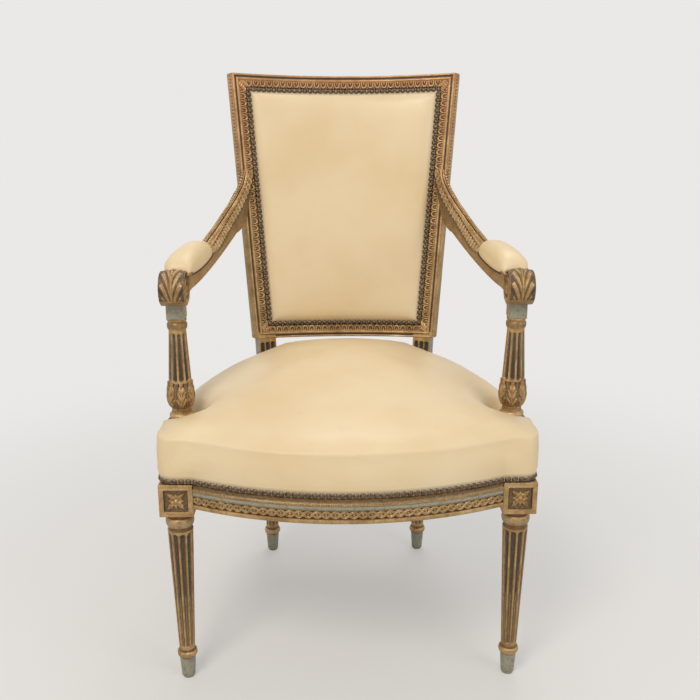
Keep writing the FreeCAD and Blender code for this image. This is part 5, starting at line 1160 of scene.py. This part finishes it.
def fill_out(thing, voxel, pressure, cap, held):
    """Let stuffing press a cover outwards. A coarse closed copy of the cover is
    run as cloth under pressure, held where it is nailed; each point of the real
    cover then takes the weighted mean of the nearby movements, none longer than
    the cap. held(points) is 1 where the cover is nailed."""
    scene = bpy.context.scene
    twin = link("cloth_copy", thing.data.copy())
    remesh = twin.modifiers.new("remesh", "REMESH")
    remesh.mode = "VOXEL"
    remesh.voxel_size = voxel
    graph = bpy.context.evaluated_depsgraph_get()
    coarse = bpy.data.meshes.new_from_object(twin.evaluated_get(graph))
    twin.modifiers.clear()
    twin.data = coarse
    start = corners(coarse)
    nailed = np.nonzero(held(start * 1000) > 0.5)[0]
    twin.vertex_groups.new(name="held").add(nailed.tolist(), 1.0, "REPLACE")
    cloth = twin.modifiers.new("cloth", "CLOTH")
    rules = cloth.settings
    rules.quality = 4
    rules.use_pressure = True
    rules.uniform_pressure_force = pressure
    rules.vertex_group_mass = "held"
    rules.tension_stiffness = rules.compression_stiffness = 25
    rules.effector_weights.gravity = 0
    cloth.point_cache.frame_start = 1
    cloth.point_cache.frame_end = CLOTH_FRAMES
    for moment in range(1, CLOTH_FRAMES + 1):
        scene.frame_set(moment)
    graph = bpy.context.evaluated_depsgraph_get()
    move = corners(twin.evaluated_get(graph).data) - start
    length = np.linalg.norm(move, axis=1, keepdims=True)
    move *= np.minimum(1, cap / np.maximum(length, 1e-9))
    scene.frame_set(1)
    bpy.data.objects.remove(twin)
    points = corners(thing.data)
    for part in np.array_split(np.arange(len(points)), max(len(points) // 800, 1)):
        gap = ((points[part][:, None, :] - start[None]) ** 2).sum(-1)
        weight = np.exp(-gap / (2 * (1.1 * voxel) ** 2)) + 1e-12
        free = 1 - held(points[part] * 1000)[:, None]
        points[part] += free * (weight @ move) / weight.sum(1, keepdims=True)
    thing.data.vertices.foreach_set("co", points.ravel())
    thing.data.update()


def under_pad(points):
    """1 on the underside and foot of an arm pad, which are tacked to the arm."""
    top = arm_at(points[:, 1] - FRONT_Y)[2]
    return 1 - ease(points[:, 2] - top, -5.5, 3)


fill_out(arm_pads, voxel=0.006, pressure=3.0, cap=0.003, held=under_pad)


# Seat leather


def seat_outline(out, blur):
    """The seat in plan, anticlockwise from the middle of the bow: bow, block,
    rounded corner, side, rear. out moves it outwards, blur softens its turns."""
    front = FRONT_Y - 27 - out
    rear = REAR_Y + 21 + out
    radius = BOW_RADIUS + out
    bow = np.linspace(0, swing, 70)
    turn = np.linspace(-math.pi / 2, 0, 16)
    ys = np.linspace(SIDE_Y1 + 2, SIDE_Y2 - 8, 70)
    half = np.concatenate([
        np.c_[radius * np.sin(bow), BOW_AXIS - radius * np.cos(bow)],
        [[BOW_HALF + 2, front], [274, front]],
        np.c_[274 + out + 24 * np.cos(turn), front + 24 + 24 * np.sin(turn)],
        np.c_[side_x(ys, out), ys],
        [[178 + out, SIDE_Y2 + 20], [178 + out, rear], [0, rear]],
    ])
    along = np.r_[0, np.cumsum(np.linalg.norm(np.diff(half, axis=0), axis=1))]
    even = np.linspace(0, along[-1], 361)
    half = np.stack([np.interp(even, along, half[:, i]) for i in (0, 1)], -1)
    whole = np.concatenate([half, (half * [-1, 1])[-2:0:-1]])
    width = max(int(round(blur / even[1])), 1)
    kernel = np.exp(-np.linspace(-2, 2, 4 * width + 1) ** 2)
    kernel /= kernel.sum()
    padded = np.concatenate([whole[-2 * width:], whole, whole[:2 * width]])
    return np.stack([np.convolve(padded[:, i], kernel, "valid") for i in (0, 1)], -1)


SEAT_PEAK = np.array([0.0, 45.0])
SEAT_EDGE = 433.0
SEAT_CROWN = 62.0
SEAT_OVAL = (262.0, 228.0)


def dents(points):
    """The leather is drawn down round the arm supports and the stiles."""
    for x, y, near, far, low in (
        (SUPPORT[0], SUPPORT[1], 27, 76, 411.0), (REAR_X + 3, REAR_Y + 4, 27, 58, 378.0),
    ):
        gap = np.hypot(np.abs(points[..., 0]) - x, points[..., 1] - y)
        pull = 1 - ease(gap, near, far)
        floor = low + 28 * ease(gap, near, near + 26) ** 0.8
        deeper = np.minimum(points[..., 2], floor)
        points[..., 2] = points[..., 2] + (deeper - points[..., 2]) * pull
    return points


def seat_rings():
    """Upright wall of the seat from its nails to its edge, then its crown, which
    turns from the seat's plan to an oval."""
    levels = [(363.6, -0.4, 1.5), (367, -0.3, 1.5), (371, 0.2, 2.5), (377, 1.4, 4)]
    for z in np.linspace(382, SEAT_EDGE, 17):
        swell = math.sin(math.pi * (z - 372) / 80) ** 0.7
        levels.append((z, 1.2 + 2.8 * swell, 6 + (z - 382) * 0.2))
    rings = []
    for z, out, blur in levels:
        plan = seat_outline(out, blur)
        lift = 4.0 * ease(np.abs(plan[:, 0]), 120, 290) * ease(-plan[:, 1], 120, 230)
        rings.append(np.c_[plan, z + lift * ease(z, 375, SEAT_EDGE)])
    edge = rings[-1]
    for t in np.linspace(0, 1, 60)[1:]:
        scale = 1 - t ** 1.5 if t < 0.5 else (1 - 0.5 ** 1.5) * (1 - (t - 0.5) / 0.5 * 0.985)
        ray = edge[:, :2] - SEAT_PEAK
        length = np.hypot(*ray.T)
        oval = 1 / np.hypot(*(ray / length[:, None] / SEAT_OVAL).T)
        rounder = (1 - scale) ** 0.8
        plan = SEAT_PEAK + ray * (scale * (1 + (oval / length - 1) * rounder))[:, None]
        base = edge[:, 2] * scale + SEAT_EDGE * (1 - scale)
        rings.append(np.c_[plan, base + SEAT_CROWN * (1 - scale ** 2.2) ** 0.74])
    return dents(np.array(rings))


seat = Form()
seat_skin = seat_rings()
# Painted shade: the leather's strip below z 374, nailed against the rail, is darkened under the nail
# heads.
seat.rings(seat_skin, 0.0, 0.8 * (1 - ease(seat_skin[..., 2], 370, 374)))
seat_leather = seat.build("seat_leather", HIDE, "leather", 70)


def under_seat(points):
    """1 below the seat's nails and round the supports, where the leather can't
    give."""
    low = 1 - ease(points[:, 2], 372, 392)
    near = np.hypot(np.abs(points[:, 0]) - SUPPORT[0], points[:, 1] - SUPPORT[1])
    stile_gap = np.hypot(np.abs(points[:, 0]) - REAR_X, points[:, 1] - REAR_Y)
    return np.maximum.reduce([low, 1 - ease(near, 30, 60), 1 - ease(stile_gap, 34, 64)])


fill_out(seat_leather, voxel=0.009, pressure=4.0, cap=0.005, held=under_seat)

# Back leather, inside and outside

BACK_NAILS = 34.5


def back_leather(name, inset, base, thick, swell, count):
    """A sheet on the hollow back: flat under its nails, then a quick rise and a
    slow crown. Positive swell stands towards the sitter."""
    t = np.linspace(0, 1, count)
    along = inset + t * (FRAME_LENGTH - 2 * inset)
    reach = half_span(along) - inset
    u = np.linspace(-1, 1, count)
    q = reach[:, None] * u[None, :]
    w_side = reach[:, None] - np.abs(q) + inset
    w_end = np.minimum(along, FRAME_LENGTH - along)[:, None]
    near = np.minimum(w_side, w_end)
    gaps = [np.maximum(w - BACK_NAILS, 0.1) for w in (w_side, w_end)]
    quick = 1 - np.exp(-1 / (1 / gaps[0] ** 2 + 1 / gaps[1] ** 2) ** 0.5 / 9.0)
    slow = (1 - u ** 2) * (1 - (2 * t[:, None] - 1) ** 2)
    height = swell * (0.62 * quick + 0.38 * slow * quick) * (near > BACK_NAILS)
    front = on_back(q, along[:, None], base - height)
    rear = on_back(q, along[:, None], np.full_like(q, base + thick))
    # Painted shade along the nailed border: the leather under and outside the nail line is darkened.
    nailed_edge_shade = (0.75 - 0.75 * ease(near, 33.5, 38)) if swell > 5 else 0.3 * (1 - ease(near, 20, 26))
    deep = np.concatenate([nailed_edge_shade, 0 * nailed_edge_shade], 1)
    sheet = Form()
    sheet.rings(np.concatenate([front, rear[:, ::-1]], 1), 0.0, deep, "strip")
    sheet.build(name, HIDE, "leather", 60)


back_leather("back_leather", inset=26.3, base=-0.1, thick=1.8, swell=20.0, count=150)
back_leather("outside_back_leather", inset=20.0, base=40.5, thick=-2.0, swell=-3.0, count=90)

# Under the seat: interlaced webs, and the hessian over them


# Distance between the webs that run front to back, and between those across.
LONG_PITCH = 78.0
CROSS_PITCH = 88.0


def web(form, centre, start, end, along_x):
    """One web; its height sways as it passes over and under those it crosses."""
    r, o = np.meshgrid(np.linspace(start, end, 150), [-24.8, -8.0, 8.0, 24.8], indexing="ij")
    if along_x:
        x, y, pitch, number = r, centre + o, LONG_PITCH, round(centre / CROSS_PITCH) + 1
    else:
        x, y, pitch, number = centre + o, r, CROSS_PITCH, round(centre / LONG_PITCH)
    wave = np.cos(math.pi * ((r + (0 if along_x else 6)) / pitch + number))
    z = 376.4 + 0.75 * np.clip(wave * 1.6, -1, 1)
    top, low = xyz(x, y, z + 0.6), xyz(x, y, z - 0.6)
    form.rings(np.concatenate([top, low[:, ::-1]], 1), 0.0, 0.0, "strip")


webs = Form()
for x in LONG_PITCH * np.arange(-2, 3):
    outer = abs(x) + 25
    front = BOW_AXIS - math.sqrt((BOW_RADIUS - 15) ** 2 - outer ** 2)
    web(webs, x, front, min(REAR_Y + 6, 168 if outer > 150 else 197), False)
for y in CROSS_PITCH * (np.arange(-2, 2) + 0.5) - 50:
    reach = min(side_x(y - 25, -15), side_x(y + 25, -15))
    web(webs, y, -reach, reach, True)
webs.build("seat_webs", JUTE, "webbing")

cloth = Form()
plan = seat_outline(-14.0, 4)
cloth.rings([
    np.c_[SEAT_PEAK + (plan - SEAT_PEAK) * scale, np.full(len(plan), z)]
    for z, scales in ((379.6, (0.02, 0.5, 1.0)), (378.8, (1.0, 0.5, 0.02))) for scale in scales
])
cloth.build("seat_hessian_sheet", HESSIAN, "hessian")

# What stands for what

for shown, nodes in {
    "front_legs": both("front_leg"),
    "front_rail_carved": ("front_rail",),
    "side_rails_carved": both("side_rail"),
    "back_frame_carved": ("back_top_rail", "back_bottom_rail"),
    "rear_legs": both("rear_leg"),
    "arm_supports": both("arm_support"),
    "arms_carved": both("arm") + ("arm_dowels",),
    "arm_pads_leather": both("arm_pad_cover") + both("arm_pad_stuffing"),
    "arm_pad_gimp": both("arm_pad_welt"),
    "seat_leather": ("seat_cover", "seat_stuffing"),
    "back_leather": ("back_cover", "back_stuffing", "back_hessian", "back_webbing_upright",
                     "back_webbing_cross"),
    "outside_back_leather": ("outside_back_cover",),
    "seat_webs": ("seat_webbing_long", "seat_webbing_cross"),
    "seat_hessian_sheet": ("seat_hessian",),
}.items():
    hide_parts(*nodes)

dress(NAILS, "seat_nails_front", "seat_nails_rear", *both("seat_nails"), "back_nails_top",
      "back_nails_bottom", *both("back_nails"), "outside_back_nails")
dress(BEECH, "rear_rail", "corner_blocks")
dress(STEEL, "corner_block_screws", "leg_glides")

# Floor, light and camera

floor_mesh = bpy.data.meshes.new("floor")
floor_mesh.from_pydata(
    [(-6, -6, 0), (6, -6, 0), (6, 6, 0), (-6, 6, 0)], [], [(0, 1, 2, 3)]
)
ground = Look("pale_floor")
floor_mesh.materials.append(ground.finish(Base_Color=colour("#f1f0ed"), Roughness=0.6))
# The paper brightens away from the chair until it meets the backdrop.
spot = ground.node("ShaderNodeNewGeometry").outputs["Position"]
away = ground.node("ShaderNodeVectorMath", {0: spot}, operation="LENGTH").outputs["Value"]
span = {"Value": away, "From Min": 0.3, "From Max": 1.7, "To Min": 0.35, "To Max": 1.0}
reach = ground.node("ShaderNodeMapRange", span, interpolation_type="SMOOTHSTEP").outputs["Result"]
ray = ground.node("ShaderNodeLightPath").outputs["Is Camera Ray"]
ground.veil("ShaderNodeEmission", ground.maths("MULTIPLY", reach, ray))
link("floor", floor_mesh)

bpy.context.scene.world = bpy.data.worlds.new("studio")
sky = Look("studio", bpy.context.scene.world)
sky.finish(Color=colour("#e6e5e3"), Strength=0.5)
# The backdrop is pale where it is seen, without more light on the chair.
path = sky.node("ShaderNodeLightPath").outputs
sky.veil("ShaderNodeBackground", sky.maths("MAXIMUM", path["Is Camera Ray"], path["Is Glossy Ray"]))

for name, place, aim, power, size, tint in (
    ("key", (-0.9, -1.9, 2.6), (0, 0, 0.5), 34, 1.0, "#fff6ea"),
    ("fill", (1.9, -1.7, 1.5), (0, 0, 0.5), 11, 1.4, "#ffffff"),
    ("top", (0.2, 0.9, 2.7), (0, 0.1, 0.6), 12, 1.0, "#ffffff"),
):
    light = bpy.data.lights.new(name, "AREA")
    light.energy = power
    light.size = size
    light.color = colour(tint)[:3]
    lamp = link(name, light)
    lamp.location = place
    look = np.subtract(aim, place)
    tilt = math.atan2(math.hypot(look[0], look[1]), -look[2])
    lamp.rotation_euler = (tilt, 0, math.atan2(look[0], -look[1]) + math.pi)

camera_data = bpy.data.cameras.new("camera")
camera_data.lens = 44.74
camera_data.sensor_width = 36
camera = link("camera", camera_data)
camera.location = (-0.022, -1.28 + FRONT_Y / 1000, 0.93)
camera.rotation_euler = (math.radians(90 - 15.65), 0, math.radians(-1.1))
bpy.context.scene.camera = camera
bpy.context.scene.view_settings.view_transform = "Standard"
